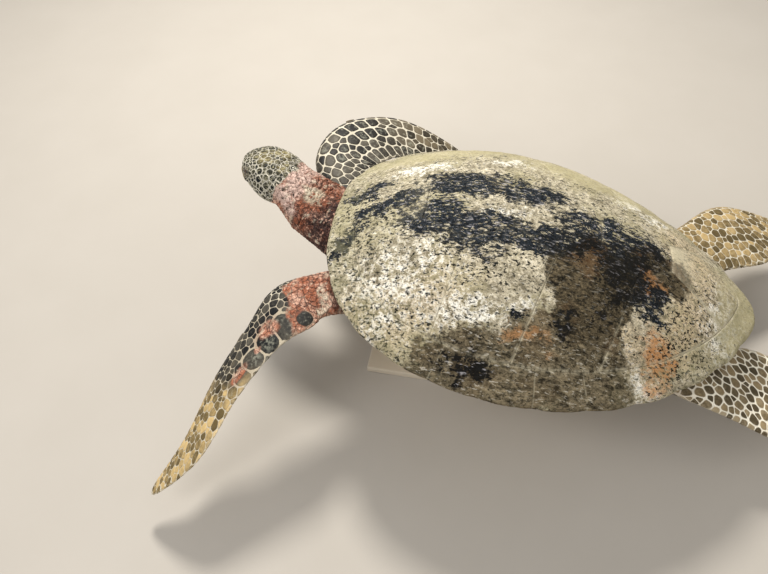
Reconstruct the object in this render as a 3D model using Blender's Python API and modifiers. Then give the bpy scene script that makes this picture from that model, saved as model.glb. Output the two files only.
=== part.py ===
"""A life-size green sea turtle, swimming slowly with its head turned to its right, held by a display stand.

The animal is modelled in its own frame: head towards -Y, its left side towards +X, +Z up, with the origin in
the plane of the shell's rim, under the shell's highest point. An empty then tips it nose up and lifts it over
the stand, whose board is centred on the world's origin.
"""

import math

import bmesh
import bpy
from mathutils import Matrix, Vector

# Shell, in metres
SHELL_LENGTH = 0.95
SHELL_HALF_WIDTH = 0.365
SHELL_RISE = 0.177
FRONT_SHARE = 0.42  # how much of the length lies ahead of the widest place
FRONT_BLUNT, REAR_BLUNT = 0.8, 1.42  # powers of the rim's outline: lower is squarer
DOME_ANGLE = math.radians(55)
NAPE_LIFT = 0.035  # the rim rises over the neck
LIP_LIFT = 0.012  # the rim flares out over the last seventh of the dome
LIP_START = 0.85
RIM_WIDTH = 0.055  # how wide the marginal plates are
PLATE_THICK = 0.006
PLATE_PILLOW = 0.003
SEAM = 0.0014
BELLY_DEPTH = 0.13
BELLY_FLAT = (0.48, 0.68)  # the belly is flat to this share of the way to the rim, at the sides and the ends
BELLY_EDGE = 0.88
PLASTRON_THICK = 0.010
PLASTRON_GAP = 0.0015
CLEARANCE = 0.0004
TRUNK_GAP = 0.0016  # between the trunk and what grows from it, wide enough for their unlike facets

# Pose
NOSE_UP = math.radians(7)
BODY_HEIGHT = 0.302
BODY_SHIFT = (0.03, 0.04)
HEAD_TURN = math.radians(-29)
HEAD_DOWN = math.radians(4)
HEAD_BACK = (-0.094, -0.520, 0.008)
HEAD_LENGTH = 0.155

# Stand
BOARD = (0.34, 0.52, 0.018)
ROD_RADIUS = 0.011
ROD_PLACES = {"stand_rod_front": -0.14, "stand_rod_rear": 0.2}

# Each limb: a list of landmarks, (place, direction of the leading edge, half chord, half thickness)
FRONT_LEFT = [
    ((0.090, -0.240, -0.050), (-0.83, -0.55, 0.0), 0.068, 0.044),
    ((0.166, -0.388, -0.047), (-0.80, -0.60, 0.0), 0.057, 0.036),
    ((0.220, -0.439, -0.050), (-0.76, -0.64, -0.1), 0.068, 0.030),
    ((0.291, -0.481, -0.079), (-0.66, -0.68, -0.38), 0.058, 0.021),
    ((0.380, -0.527, -0.140), (-0.66, -0.58, -0.52), 0.063, 0.014),
    ((0.490, -0.564, -0.213), (-0.66, -0.58, -0.54), 0.051, 0.010),
    ((0.566, -0.637, -0.316), (-0.66, -0.58, -0.54), 0.012, 0.005),
]
FRONT_RIGHT = [
    ((-0.090, -0.240, -0.050), (0.60, -0.80, 0.0), 0.068, 0.044),
    ((-0.170, -0.370, -0.045), (0.30, -0.95, 0.0), 0.066, 0.036),
    ((-0.258, -0.428, -0.038), (-0.15, -1.00, 0.0), 0.076, 0.030),
    ((-0.348, -0.402, -0.032), (-0.52, -0.85, 0.05), 0.084, 0.021),
    ((-0.418, -0.318, -0.045), (-0.90, -0.42, 0.05), 0.076, 0.014),
    ((-0.436, -0.205, -0.080), (-0.98, -0.10, 0.05), 0.058, 0.010),
    ((-0.452, -0.066, -0.130), (-0.98, 0.0, 0.05), 0.013, 0.005),
]
HIND_LEFT = [
    ((0.090, 0.290, -0.065), (1.0, -0.2, 0.0), 0.060, 0.042),
    ((0.126, 0.410, -0.066), (1.0, -0.1, 0.0), 0.074, 0.034),
    ((0.128, 0.520, -0.075), (1.0, -0.05, -0.05), 0.094, 0.020),
    ((0.128, 0.630, -0.095), (1.0, -0.05, -0.05), 0.106, 0.012),
    ((0.140, 0.758, -0.125), (1.0, -0.1, -0.1), 0.036, 0.005),
]
HIND_RIGHT = [
    ((-0.090, 0.290, -0.065), (-1.0, -0.3, 0.0), 0.060, 0.042),
    ((-0.176, 0.402, -0.066), (-0.8, -0.6, 0.0), 0.062, 0.034),
    ((-0.268, 0.500, -0.066), (-0.86, -0.50, 0.05), 0.080, 0.020),
    ((-0.364, 0.618, -0.076), (-0.90, -0.42, 0.05), 0.098, 0.012),
    ((-0.440, 0.752, -0.100), (-0.90, -0.42, 0.05), 0.036, 0.005),
]
TAIL = [
    ((0.0, 0.340, -0.080), (1.0, 0.0, 0.0), 0.050, 0.040),
    ((0.0, 0.430, -0.082), (1.0, 0.0, 0.0), 0.038, 0.032),
    ((-0.005, 0.500, -0.084), (1.0, 0.0, 0.0), 0.022, 0.022),
    ((-0.010, 0.555, -0.092), (1.0, 0.0, 0.0), 0.007, 0.009),
]
NECK = [
    ((0.0, -0.200, -0.045), 0.090, 0.045),
    ((-0.018, -0.310, -0.040), 0.098, 0.060),
    ((-0.049, -0.400, -0.028), 0.090, 0.058),
    ((-0.072, -0.472, -0.014), 0.079, 0.057),
]
# Head, from its joint with the neck to the snout: (share of the length, half width, top, bottom)
HEAD = [
    (0.00, 0.060, 0.046, -0.047),
    (0.20, 0.066, 0.052, -0.049),
    (0.40, 0.065, 0.053, -0.046),
    (0.60, 0.058, 0.049, -0.041),
    (0.76, 0.048, 0.041, -0.036),
    (0.89, 0.034, 0.028, -0.031),
    (0.97, 0.019, 0.014, -0.025),
    (1.00, 0.007, 0.002, -0.017),
]
MOUTH_HEIGHT = -0.014
JAW_CORNER = -0.066
BEAK_BACK = -0.104
BEAK_BAND = 0.0105
EYE_RADIUS = 0.0145
EYE_PLACE = (0.0445, -0.100, 0.012)

LIMB_SIDES = 12
NECK_SIDES = 20
SHELL_SIDES = 32


def smooth(t):
    t = min(max(t, 0.0), 1.0)
    return t * t * (3 - 2 * t)


def spline(values, t):
    """A smooth curve through equal-length tuples of numbers, at t from 0 to 1."""
    last = len(values) - 1
    at = min(max(t, 0.0), 1.0) * last
    i = min(int(at), last - 1)
    f = at - i
    a, b = values[max(i - 1, 0)], values[i]
    c, d = values[i + 1], values[min(i + 2, last)]
    return [
        0.5 * (2 * q + (r - p) * f + (2 * p - 5 * q + 4 * r - s) * f**2 + (3 * q - p - 3 * r + s) * f**3)
        for p, q, r, s in zip(a, b, c, d)
    ]


def along(points, t):
    """The place at share t of a polyline whose stretches count the same."""
    at = min(max(t, 0.0), 1.0) * (len(points) - 1)
    i = min(int(at), len(points) - 2)
    return points[i].lerp(points[i + 1], at - i)


# Scene, materials and mesh helpers


def clear_scene():
    for obj in list(bpy.data.objects):
        bpy.data.objects.remove(obj)


def collection(name, hidden=False):
    made = bpy.data.collections.new(name)
    bpy.context.scene.collection.children.link(made)
    made.hide_render = hidden
    return made


def material(name, colour, roughness, metallic=0.0):
    made = bpy.data.materials.new(name)
    made.use_nodes = True
    shader = made.node_tree.nodes["Principled BSDF"]
    shader.inputs["Base Color"].default_value = (*colour, 1.0)
    shader.inputs["Roughness"].default_value = roughness
    shader.inputs["Metallic"].default_value = metallic
    return made


def add(name, bm, surface, home, parent):
    bmesh.ops.recalc_face_normals(bm, faces=bm.faces)
    mesh = bpy.data.meshes.new(name)
    bm.to_mesh(mesh)
    bm.free()
    mesh.shade_smooth()
    mesh.set_sharp_from_angle(angle=math.radians(40))
    obj = bpy.data.objects.new(name, mesh)
    home.objects.link(obj)
    obj.parent = parent
    if surface is None:
        obj.hide_render = True
        obj.display_type = "WIRE"
    else:
        mesh.materials.append(surface)
    return obj


def loft(name, rings, surface, home, parent):
    """A closed solid through rings that all have the same number of points."""
    bm = bmesh.new()
    rows = [[bm.verts.new(point) for point in ring] for ring in rings]
    for row, following in zip(rows, rows[1:]):
        for i, start in enumerate(row):
            j = (i + 1) % len(row)
            bm.faces.new((start, row[j], following[j], following[i]))
    bm.faces.new(rows[0])
    bm.faces.new(rows[-1])
    bmesh.ops.triangulate(bm, faces=bm.faces)  # so that a cutter bends along the same lines as its twin
    return add(name, bm, surface, home, parent)


def sheet(name, rows, surface, home, parent, thickness):
    """An open grid of points, made solid towards its inner side."""
    bm = bmesh.new()
    grid = [[bm.verts.new(point) for point in row] for row in rows]
    for row, following in zip(grid, grid[1:]):
        for i in range(len(row) - 1):
            bm.faces.new((row[i], row[i + 1], following[i + 1], following[i]))
    bmesh.ops.recalc_face_normals(bm, faces=bm.faces)
    if sum(face.normal.z for face in bm.faces) < 0:
        bmesh.ops.reverse_faces(bm, faces=bm.faces)
    mesh = bpy.data.meshes.new(name)
    bm.to_mesh(mesh)
    bm.free()
    mesh.shade_smooth()
    mesh.materials.append(surface)
    obj = bpy.data.objects.new(name, mesh)
    home.objects.link(obj)
    obj.parent = parent
    solid = obj.modifiers.new("thickness", "SOLIDIFY")
    solid.thickness = thickness
    solid.offset = -1
    solid.use_even_offset = True
    return obj


def combine(obj, tool, operation="DIFFERENCE"):
    step = obj.modifiers.new(operation.lower(), "BOOLEAN")
    step.operation = operation
    step.object = tool
    step.solver = "EXACT"


# Shell: phi runs from 0 over the neck to pi over the tail, and rho from 0 at the middle to 1 at the rim


def rim(phi):
    """The rim's place in plan, on the left side for phi up to pi and on the right side for a negative phi."""
    s, c = abs(math.sin(phi)), math.cos(phi)
    x = SHELL_HALF_WIDTH * s ** (FRONT_BLUNT if c > 0 else REAR_BLUNT)
    y = -c * SHELL_LENGTH * (FRONT_SHARE if c > 0 else 1 - FRONT_SHARE)
    return Vector((math.copysign(x, phi), y))


def dome(rho):
    base = math.cos(DOME_ANGLE)
    return (math.sqrt(max(1 - (rho * math.sin(DOME_ANGLE)) ** 2, 0)) - base) / (1 - base)


def rim_height(phi):
    return NAPE_LIFT * math.exp(-((phi / 0.5) ** 2))


def shell_top(phi, rho, drop=0.0):
    place = rim(phi) * rho
    lip = LIP_LIFT * (max(rho - LIP_START, 0) / (1 - LIP_START)) ** 2
    z = rim_height(phi) * rho**3 + SHELL_RISE * dome(rho) + lip
    return Vector((place.x, place.y, z - drop))


def shell_angle(place):
    """phi of the spoke that a place in plan lies on."""
    aim = math.atan2(abs(place.x), -place.y)
    low, high = 0.0, math.pi
    for _ in range(30):
        middle = (low + high) / 2
        edge = rim(middle)
        if math.atan2(edge.x, -edge.y) < aim:
            low = middle
        else:
            high = middle
    return math.copysign(low, place.x)


def on_shell(place, lift=0.0):
    phi = shell_angle(place)
    point = shell_top(phi, place.length / rim(phi).length)
    return point + Vector((0, 0, lift))


def seam_ring(phi):
    """The seam between the marginal plates and the large ones, in plan."""
    edge = rim(phi)
    return edge * (1 - RIM_WIDTH / edge.length)


def belly(phi, rho):
    """The underside of the trunk: flat in the middle, rising to the rim."""
    edge = 0.5 * rim_height(phi) - 0.004
    flat = BELLY_FLAT[0] + (BELLY_FLAT[1] - BELLY_FLAT[0]) * math.cos(phi) ** 2
    fall = smooth((BELLY_EDGE - rho) / (BELLY_EDGE - flat))
    place = rim(phi) * rho
    return Vector((place.x, place.y, edge - (BELLY_DEPTH + edge) * fall))


def spokes():
    return [math.pi * (2 * (i + 0.5) / SHELL_SIDES - 1) for i in range(SHELL_SIDES)]


def inset_grid(rows, gap):
    """Draws the outer points of a grid in plan towards its middle, to leave half a seam all round."""
    wide, high = len(rows[0]) - 1, len(rows) - 1
    moved = [list(row) for row in rows]
    for i, row in enumerate(rows):
        for j, point in enumerate(row):
            inner_i = min(max(i, 1), high - 1)
            inner_j = min(max(j, 1), wide - 1)
            step = Vector((0, 0))
            if inner_i != i:
                step += (rows[inner_i][j] - point).normalized()
            if inner_j != j:
                step += (row[inner_j] - point).normalized()
            moved[i][j] = point + step * gap
    return moved


def plate(name, rows, surface, home, parent):
    """One large plate of the shell, a little cushioned, from a grid of places in plan."""
    rows = inset_grid(rows, SEAM * 0.6)
    high, wide = len(rows) - 1, len(rows[0]) - 1
    raised = []
    for i, row in enumerate(rows):
        across = 1 - (2 * i / high - 1) ** 4
        raised.append([
            on_shell(point, PLATE_PILLOW * across * (1 - (2 * j / wide - 1) ** 4))
            for j, point in enumerate(row)
        ])
    return sheet(name, raised, surface, home, parent, PLATE_THICK)


# The seams of the large plates, as places in plan on the left side
NUCHAL_END, VERTEBRAL_1_END = 0.1, 0.2  # phi where these plates end on the ring seam
COSTAL_ENDS = [1.13, 1.60, 1.97, 2.718]
TAIL_END = math.pi - 0.1
CROSS_SEAMS = [(0.055, -0.205), (0.055, -0.025), (0.050, 0.155), (0.038, 0.315)]
SIDE_CORNERS = [(0.105, -0.115), (0.105, 0.065), (0.090, 0.235)]


def mirrored(point):
    return Vector((-point.x, point.y))


def ring_arc(start, end, steps=10):
    return [seam_ring(start + (end - start) * i / steps) for i in range(steps + 1)]


def vertebral_plates(surface, home, parent):
    cross = [Vector(point) for point in CROSS_SEAMS]
    corner = [Vector(point) for point in SIDE_CORNERS]
    sides = [
        [seam_ring(NUCHAL_END), seam_ring(VERTEBRAL_1_END), cross[0]],
        [cross[0], corner[0], cross[1]],
        [cross[1], corner[1], cross[2]],
        [cross[2], corner[2], cross[3]],
        [cross[3], seam_ring(COSTAL_ENDS[3]), seam_ring(TAIL_END)],
    ]
    for number, side in enumerate(sides, 1):
        rows = []
        for i in range(7):
            left = along(side, i / 6)
            rows.append([mirrored(left).lerp(left, j / 4) for j in range(5)])
        plate(f"vertebral_{number}", rows, surface, home, parent)


def costal_plates(surface, home, parent):
    cross = [Vector(point) for point in CROSS_SEAMS]
    corner = [Vector(point) for point in SIDE_CORNERS]
    ends = [VERTEBRAL_1_END, *COSTAL_ENDS]
    inner = [
        [cross[0], corner[0]],
        [corner[0], cross[1], corner[1]],
        [corner[1], cross[2], corner[2]],
        [corner[2], cross[3]],
    ]
    for side, flip in (("left", False), ("right", True)):
        for number in range(4):
            outer = ring_arc(ends[number], ends[number + 1])
            rows = []
            for i in range(7):
                start, end = along(inner[number], i / 6), along(outer, i / 6)
                row = [start.lerp(end, j / 6) for j in range(7)]
                rows.append([mirrored(point) for point in row] if flip else row)
            plate(f"costal_{side}_{number + 1}", rows, surface, home, parent)


def marginal_section(phi, bulge):
    """A slice through a marginal plate: the top, the nose of the rim, the underside and the inner slope."""
    edge = rim(phi)
    inner = (seam_ring(phi).length + SEAM * 0.6) / edge.length
    foot = shell_top(phi, 1.0)
    out = edge.normalized() * bulge
    swell = Vector((out.x, out.y, 0))
    under = 0.90
    return [
        shell_top(phi, inner),
        shell_top(phi, 0.5 * inner + 0.5) + swell * 0.3,
        shell_top(phi, 0.97) + swell,
        foot + swell - Vector((0, 0, 0.003)),
        Vector((*(edge * 0.988), foot.z - 0.011)) + swell,
        Vector((*(edge * under), foot.z - 0.008)),
        shell_top(phi, inner, drop=PLATE_THICK + 0.003),
    ]


def marginal_ends(count=12):
    """Where the marginal plates end along the rim, an even length apart."""
    steps = 400
    places = [NUCHAL_END + (math.pi - NUCHAL_END) * i / steps for i in range(steps + 1)]
    length = [0.0]
    for start, end in zip(places, places[1:]):
        length.append(length[-1] + (rim(end) - rim(start)).length)
    ends = []
    for k in range(count + 1):
        aim = length[-1] * k / count
        ends.append(next(phi for phi, run in zip(places, length) if run >= aim - 1e-9))
    return ends


def marginal_plates(surface, home, parent):
    ends = marginal_ends()
    for side, sign in (("left", 1), ("right", -1)):
        for number, (start, end) in enumerate(zip(ends, ends[1:]), 1):
            gap = SEAM * 0.6 / rim((start + end) / 2).length
            jut = 0.002 + 0.003 * smooth((number - 5) / 4)  # the rear of the rim is slightly toothed
            steps = 3
            rings = []
            for i in range(steps + 1):
                phi = start + gap + (end - start - 2 * gap) * i / steps
                rings.append(marginal_section(sign * phi, jut * math.sin(math.pi * i / steps)))
            loft(f"marginal_{side}_{number}", rings, surface, home, parent)


def nuchal_plate(surface, home, parent):
    gap = SEAM * 0.6 / rim(0.0).length
    steps = 6
    reach = NUCHAL_END - gap
    rings = [marginal_section(reach * (2 * i / steps - 1) + 1e-6, 0.0) for i in range(steps + 1)]
    loft("nuchal", rings, surface, home, parent)


def plastron_edge(phi):
    """How far out the belly plate reaches: lobes before and behind, and a bridge to the rim at each side."""
    bridge = math.exp(-(((abs(phi) - 1.5) / 0.42) ** 2))
    return 0.62 + 0.255 * bridge + 0.10 * math.cos(phi) ** 4


def belly_rings(shares, lift):
    rings = []
    for share in shares:
        ring = []
        for phi in spokes():
            point = belly(phi, plastron_edge(phi) * share)
            ring.append(point + Vector((0, 0, lift)))
        rings.append(ring)
    return rings


def plastron(surface, home, parent, grow=0.0, bury=0.0, name="plastron"):
    shares = [0.05, 0.45, 0.72, 0.88, 1.0 + 2 * grow]
    upper = belly_rings(shares, bury - PLASTRON_GAP)
    lower = belly_rings(shares[::-1], -PLASTRON_GAP - PLASTRON_THICK - grow)
    return loft(name, upper + lower, surface, home, parent)


def trunk(surface, home, parent, drop=0.0, name="trunk"):
    depth = PLATE_THICK + 0.0035
    tops = [0.04, 0.3, 0.55, 0.72, 0.82]
    unders = [0.84, 0.78, 0.70, 0.60, 0.48, 0.04]
    rings = [[shell_top(phi, rho, depth) for phi in spokes()] for rho in tops]
    rings += [[belly(phi, rho) for phi in spokes()] for rho in unders]
    wider = 1 + drop / SHELL_HALF_WIDTH
    rings = [[Vector((p.x * wider, p.y * wider, p.z - drop)) for p in ring] for ring in rings]
    return loft(name, rings, surface, home, parent)


def shell_envelope(home, parent):
    """The space that the shell and trunk take up, a little grown, which cuts the limbs and neck to fit."""
    tops = [0.04, 0.4, 0.7, 0.87, 0.95]
    rings = [[shell_top(phi, rho, -0.004) for phi in spokes()] for rho in tops]
    nose, under = [], []
    for phi in spokes():
        foot = shell_top(phi, 1.0)
        nose.append(Vector((*(rim(phi) * 1.02), foot.z)))
        under.append(Vector((*(rim(phi) * 1.0), foot.z - 0.013)))
    rings += [nose, under]
    inner = []
    for phi in spokes():
        foot = shell_top(phi, 1.0)
        inner.append(Vector((*(rim(phi) * 0.895), min(foot.z - 0.010, belly(phi, 0.895).z - TRUNK_GAP))))
    rings.append(inner)
    for rho in (0.84, 0.78, 0.70, 0.60, 0.48, 0.04):
        rings.append([belly(phi, rho) - Vector((0, 0, TRUNK_GAP)) for phi in spokes()])
    return loft("shell_envelope", rings, None, home, parent)


# Flesh


def limb_ring(landmarks, t, grow=0.0):
    flat = [(*place, *lead, chord, thick) for place, lead, chord, thick in landmarks]
    now = spline(flat, t)
    step = 0.01
    ahead, behind = spline(flat, t + step), spline(flat, t - step)
    axis = (Vector(ahead[:3]) - Vector(behind[:3])).normalized()
    lead = Vector(now[3:6])
    lead = (lead - axis * lead.dot(axis)).normalized()
    up = lead.cross(axis)
    chord, thick = now[6] + grow, now[7] + grow
    ring = []
    for i in range(LIMB_SIDES):
        angle = 2 * math.pi * i / LIMB_SIDES
        c, s = math.cos(angle), math.sin(angle)
        taper = 0.68 + 0.32 * c  # blunt leading edge, thin trailing edge
        ring.append(Vector(now[:3]) + lead * (c * chord) + up * (s * thick * taper))
    return ring


def limb(name, landmarks, surface, home, parent, start=0.0, end=1.0, stations=10, grow=0.0):
    shares = [start + (end - start) * i / stations for i in range(stations + 1)]
    if end == 1.0:
        shares[-1:] = [1.0 - 0.35 * (end - start) / stations, 1.0]
    rings = [limb_ring(landmarks, t, grow) for t in shares]
    if end == 1.0:
        middle = sum(rings[-1], Vector()) / LIMB_SIDES
        rings[-1] = [middle.lerp(point, 0.45) for point in rings[-1]]
    return loft(name, rings, surface, home, parent)


def head_matrix():
    turn = Matrix.Rotation(HEAD_TURN, 4, "Z") @ Matrix.Rotation(HEAD_DOWN, 4, "X")
    return Matrix.Translation(HEAD_BACK) @ turn


def head_ring(share, grow=0.0):
    """A slice of the head in its own frame: full cheeks, a flatter crown and a rounded throat."""
    stations = [row[0] for row in HEAD]
    i = max(k for k, at in enumerate(stations) if at <= share or k == 0)
    i = min(i, len(HEAD) - 2)
    t = (i + (share - stations[i]) / (stations[i + 1] - stations[i])) / (len(HEAD) - 1)
    _, wide, top, bottom = spline(HEAD, t)
    middle = 0.45 * top + 0.55 * bottom
    ring = []
    for k in range(NECK_SIDES):
        angle = 2 * math.pi * k / NECK_SIDES
        c, s = math.cos(angle), math.sin(angle)
        x = math.copysign(abs(c) ** 0.85, c) * (wide + grow)
        reach = (top - middle if s > 0 else middle - bottom) + grow
        z = middle + math.copysign(abs(s) ** 0.85, s) * reach
        ring.append(Vector((x, -share * HEAD_LENGTH, z)))
    return ring


def neck_ring(t, grow=0.0):
    flat = [(*place, wide, high) for place, wide, high in NECK]
    now = spline(flat, t)
    ahead, behind = spline(flat, t + 0.01), spline(flat, t - 0.01)
    axis = (Vector(ahead[:3]) - Vector(behind[:3])).normalized()
    left = Vector((0, 0, 1)).cross(axis) * -1
    left = left.normalized()
    up = axis.cross(left) * -1
    if up.z < 0:
        up = -up
    if left.x < 0:
        left = -left
    ring = []
    for k in range(NECK_SIDES):
        angle = 2 * math.pi * k / NECK_SIDES
        c, s = math.cos(angle), math.sin(angle)
        ring.append(Vector(now[:3]) + left * (c * (now[3] + grow)) + up * (s * (now[4] + grow)))
    return ring


def neck(surface, home, parent, grow=0.0, name="neck"):
    """From inside the trunk to the head's own first slice, so that the two meet all round."""
    rings = [neck_ring(i / 9, grow) for i in range(10)]
    joint = head_matrix() @ Matrix.Translation((0, CLEARANCE, 0))
    last = [joint @ point for point in head_ring(0.0, grow)]
    rings.append([a.lerp(b, 0.5) for a, b in zip(rings[-1], last)])
    rings.append(last)
    return loft(name, rings, surface, home, parent)


def block(name, low, high, home, parent):
    bm = bmesh.new()
    bmesh.ops.create_cube(bm, size=1.0)
    low, high = Vector(low), Vector(high)
    size = high - low
    bmesh.ops.scale(bm, verts=bm.verts, vec=size)
    bmesh.ops.translate(bm, verts=bm.verts, vec=(low + high) / 2)
    return add(name, bm, None, home, parent)


def ball(name, centre, radius, surface, home, parent):
    bm = bmesh.new()
    bmesh.ops.create_uvsphere(bm, u_segments=12, v_segments=8, radius=radius)
    bmesh.ops.translate(bm, verts=bm.verts, vec=centre)
    return add(name, bm, surface, home, parent)


def head_parts(looks, home, cutters, parent):
    """Skull with cheeks, lower jaw, the two horny beaks along the mouth, and the eyes."""
    skull = bpy.data.objects.new("head_place", None)
    home.objects.link(skull)
    skull.parent = parent
    skull.matrix_local = head_matrix()
    shares = [0, 0.1, 0.2, 0.3, 0.4, 0.5, 0.6, 0.68, 0.76, 0.83, 0.89, 0.935, 0.97, 1.0]
    rings = [head_ring(share) for share in shares]
    far = 0.2
    half = CLEARANCE / 2

    def jaw_space(name, edge):
        return block(name, (-far, -far, -far), (far, JAW_CORNER + edge, MOUTH_HEIGHT + edge), cutters, skull)

    def beak_space(name, edge):
        low, high = MOUTH_HEIGHT - BEAK_BAND - edge, MOUTH_HEIGHT + BEAK_BAND + edge
        return block(name, (-far, -far, low), (far, BEAK_BACK + edge, high), cutters, skull)

    inside_jaw, outside_jaw = jaw_space("jaw_inside", -half), jaw_space("jaw_outside", half)
    inside_beak, outside_beak = beak_space("beak_inside", -half), beak_space("beak_outside", half)
    steps = {
        "head": ("skin", [(outside_jaw, "DIFFERENCE"), (outside_beak, "DIFFERENCE")]),
        "jaw": ("skin", [(inside_jaw, "INTERSECT"), (outside_beak, "DIFFERENCE")]),
        "beak_upper": ("beak", [(outside_jaw, "DIFFERENCE"), (inside_beak, "INTERSECT")]),
        "beak_lower": ("beak", [(inside_jaw, "INTERSECT"), (inside_beak, "INTERSECT")]),
    }
    made = {}
    for name, (look, cuts) in steps.items():
        made[name] = loft(name, rings, looks[look], home, skull)
        for tool, operation in cuts:
            combine(made[name], tool, operation)
    for side, sign in (("left", 1), ("right", -1)):
        centre = Vector((sign * EYE_PLACE[0], *EYE_PLACE[1:]))
        ball(f"eye_{side}", centre, EYE_RADIUS, looks["eye"], home, skull)
        socket = ball(f"socket_{side}", centre, EYE_RADIUS + 0.0006, None, cutters, skull)
        combine(made["head"], socket)


def claw(name, landmarks, t, surface, home, parent):
    """A short hooked claw on the leading edge, pointing along the blade, its root trimmed to the blade."""
    root, ahead = limb_ring(landmarks, t), limb_ring(landmarks, t + 0.03)
    out = (root[0] - sum(root, Vector()) / LIMB_SIDES).normalized()
    aim = (ahead[0] - root[0]).normalized()
    length, thick, sides, steps = 0.026, 0.0055, 8, 5
    side = out.cross(aim).normalized()
    rings = []
    for i in range(steps + 1):
        f = i / steps
        centre = root[0] + out * (0.002 + 0.006 * f) + aim * (f * length)
        radius = thick * (1 - 0.85 * f**1.5)
        ring = []
        for k in range(sides):
            angle = 2 * math.pi * k / sides
            ring.append(centre + (out * math.cos(angle) + side * math.sin(angle)) * radius)
        rings.append(ring)
    return loft(name, rings, surface, home, parent)


def flesh(looks, home, cutters, parent):
    envelope = shell_envelope(cutters, parent)
    below = plastron(None, cutters, parent, grow=0.0005, bury=0.008, name="plastron_space")
    combine(envelope, below, "UNION")
    neck_tool = neck(None, cutters, parent, grow=0.0005, name="neck_space")
    skin = looks["skin"]
    joint = 0.0008
    pieces = [trunk(skin, home, parent)]
    made = [neck(skin, home, parent), limb("tail", TAIL, skin, home, parent, stations=7)]
    for side, landmarks in (("left", FRONT_LEFT), ("right", FRONT_RIGHT)):
        elbow = 0.36
        arm = limb(f"upper_arm_{side}", landmarks, skin, home, parent, 0.0, elbow, 8)
        combine(arm, neck_tool)
        made.append(arm)
        blade = limb(f"front_flipper_{side}", landmarks, skin, home, parent, elbow + joint, 1.0, 14)
        pieces.append(blade)
        hook = claw(f"claw_{side}", landmarks, 0.52, looks["claw"], home, parent)
        around = limb(f"blade_space_{side}", landmarks, None, cutters, parent, elbow, 1.0, 14, grow=0.0012)
        combine(hook, around)
    for side, landmarks in (("left", HIND_LEFT), ("right", HIND_RIGHT)):
        hind = limb(f"hind_flipper_{side}", landmarks, skin, home, parent, stations=11)
        made.append(hind)
    for obj in made:
        combine(obj, envelope)


# Stand


def turtle_matrix():
    return Matrix.Translation((*BODY_SHIFT, BODY_HEIGHT)) @ Matrix.Rotation(-NOSE_UP, 4, "X")


def stand(looks, home):
    bm = bmesh.new()
    bmesh.ops.create_cube(bm, size=1.0)
    bmesh.ops.scale(bm, verts=bm.verts, vec=BOARD)
    bmesh.ops.translate(bm, verts=bm.verts, vec=(0, 0, BOARD[2] / 2))
    board = add("stand_base", bm, looks["board"], home, None)
    edge = board.modifiers.new("edge", "BEVEL")
    edge.width = 0.004
    edge.segments = 2
    place = turtle_matrix()
    level = -(BELLY_DEPTH + PLASTRON_THICK + PLASTRON_GAP) - CLEARANCE
    normal = place.to_3x3() @ Vector((0, 0, 1))
    on_belly = place @ Vector((0, 0, level))
    sides = 20
    for name, y in ROD_PLACES.items():
        rings = [[], []]
        for k in range(sides):
            angle = 2 * math.pi * k / sides
            x = BODY_SHIFT[0] + ROD_RADIUS * math.cos(angle)
            across = y + ROD_RADIUS * math.sin(angle)
            top = on_belly.z - (normal.y * (across - on_belly.y) + normal.x * (x - on_belly.x)) / normal.z
            rings[0].append(Vector((x, across, BOARD[2] + 0.0003)))
            rings[1].append(Vector((x, across, top)))
        loft(name, rings, looks["rod"], home, None)


def main():
    clear_scene()
    home = collection("sea_turtle")
    cutters = collection("cutters", hidden=True)
    looks = {
        "shell": material("shell", (0.20, 0.19, 0.12), 0.75),
        "rim": material("rim", (0.26, 0.25, 0.17), 0.75),
        "plastron": material("plastron", (0.62, 0.54, 0.33), 0.5),
        "skin": material("skin", (0.24, 0.15, 0.11), 0.6),
        "beak": material("beak", (0.30, 0.24, 0.14), 0.4),
        "claw": material("claw", (0.16, 0.12, 0.08), 0.4),
        "eye": material("eye", (0.01, 0.01, 0.01), 0.1),
        "board": material("board", (0.03, 0.03, 0.03), 0.4),
        "rod": material("rod", (0.55, 0.55, 0.56), 0.3, 1.0),
    }
    turtle = bpy.data.objects.new("turtle_place", None)
    home.objects.link(turtle)
    turtle.matrix_local = turtle_matrix()
    nuchal_plate(looks["rim"], home, turtle)
    vertebral_plates(looks["shell"], home, turtle)
    costal_plates(looks["shell"], home, turtle)
    marginal_plates(looks["rim"], home, turtle)
    belly_plate = plastron(looks["plastron"], home, turtle, bury=0.008)
    combine(belly_plate, trunk(None, cutters, turtle, drop=PLASTRON_GAP, name="trunk_space"))
    flesh(looks, home, cutters, turtle)
    head_parts(looks, home, cutters, turtle)
    stand(looks, home)


main()
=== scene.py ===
"""A life-size museum model of a green sea turtle, swimming with its head turned, held over a plain board."""

import functools
import math

import bmesh
import bpy
import numpy as np
from mathutils import Matrix, Vector
from mathutils.bvhtree import BVHTree
from mathutils.kdtree import KDTree


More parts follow.
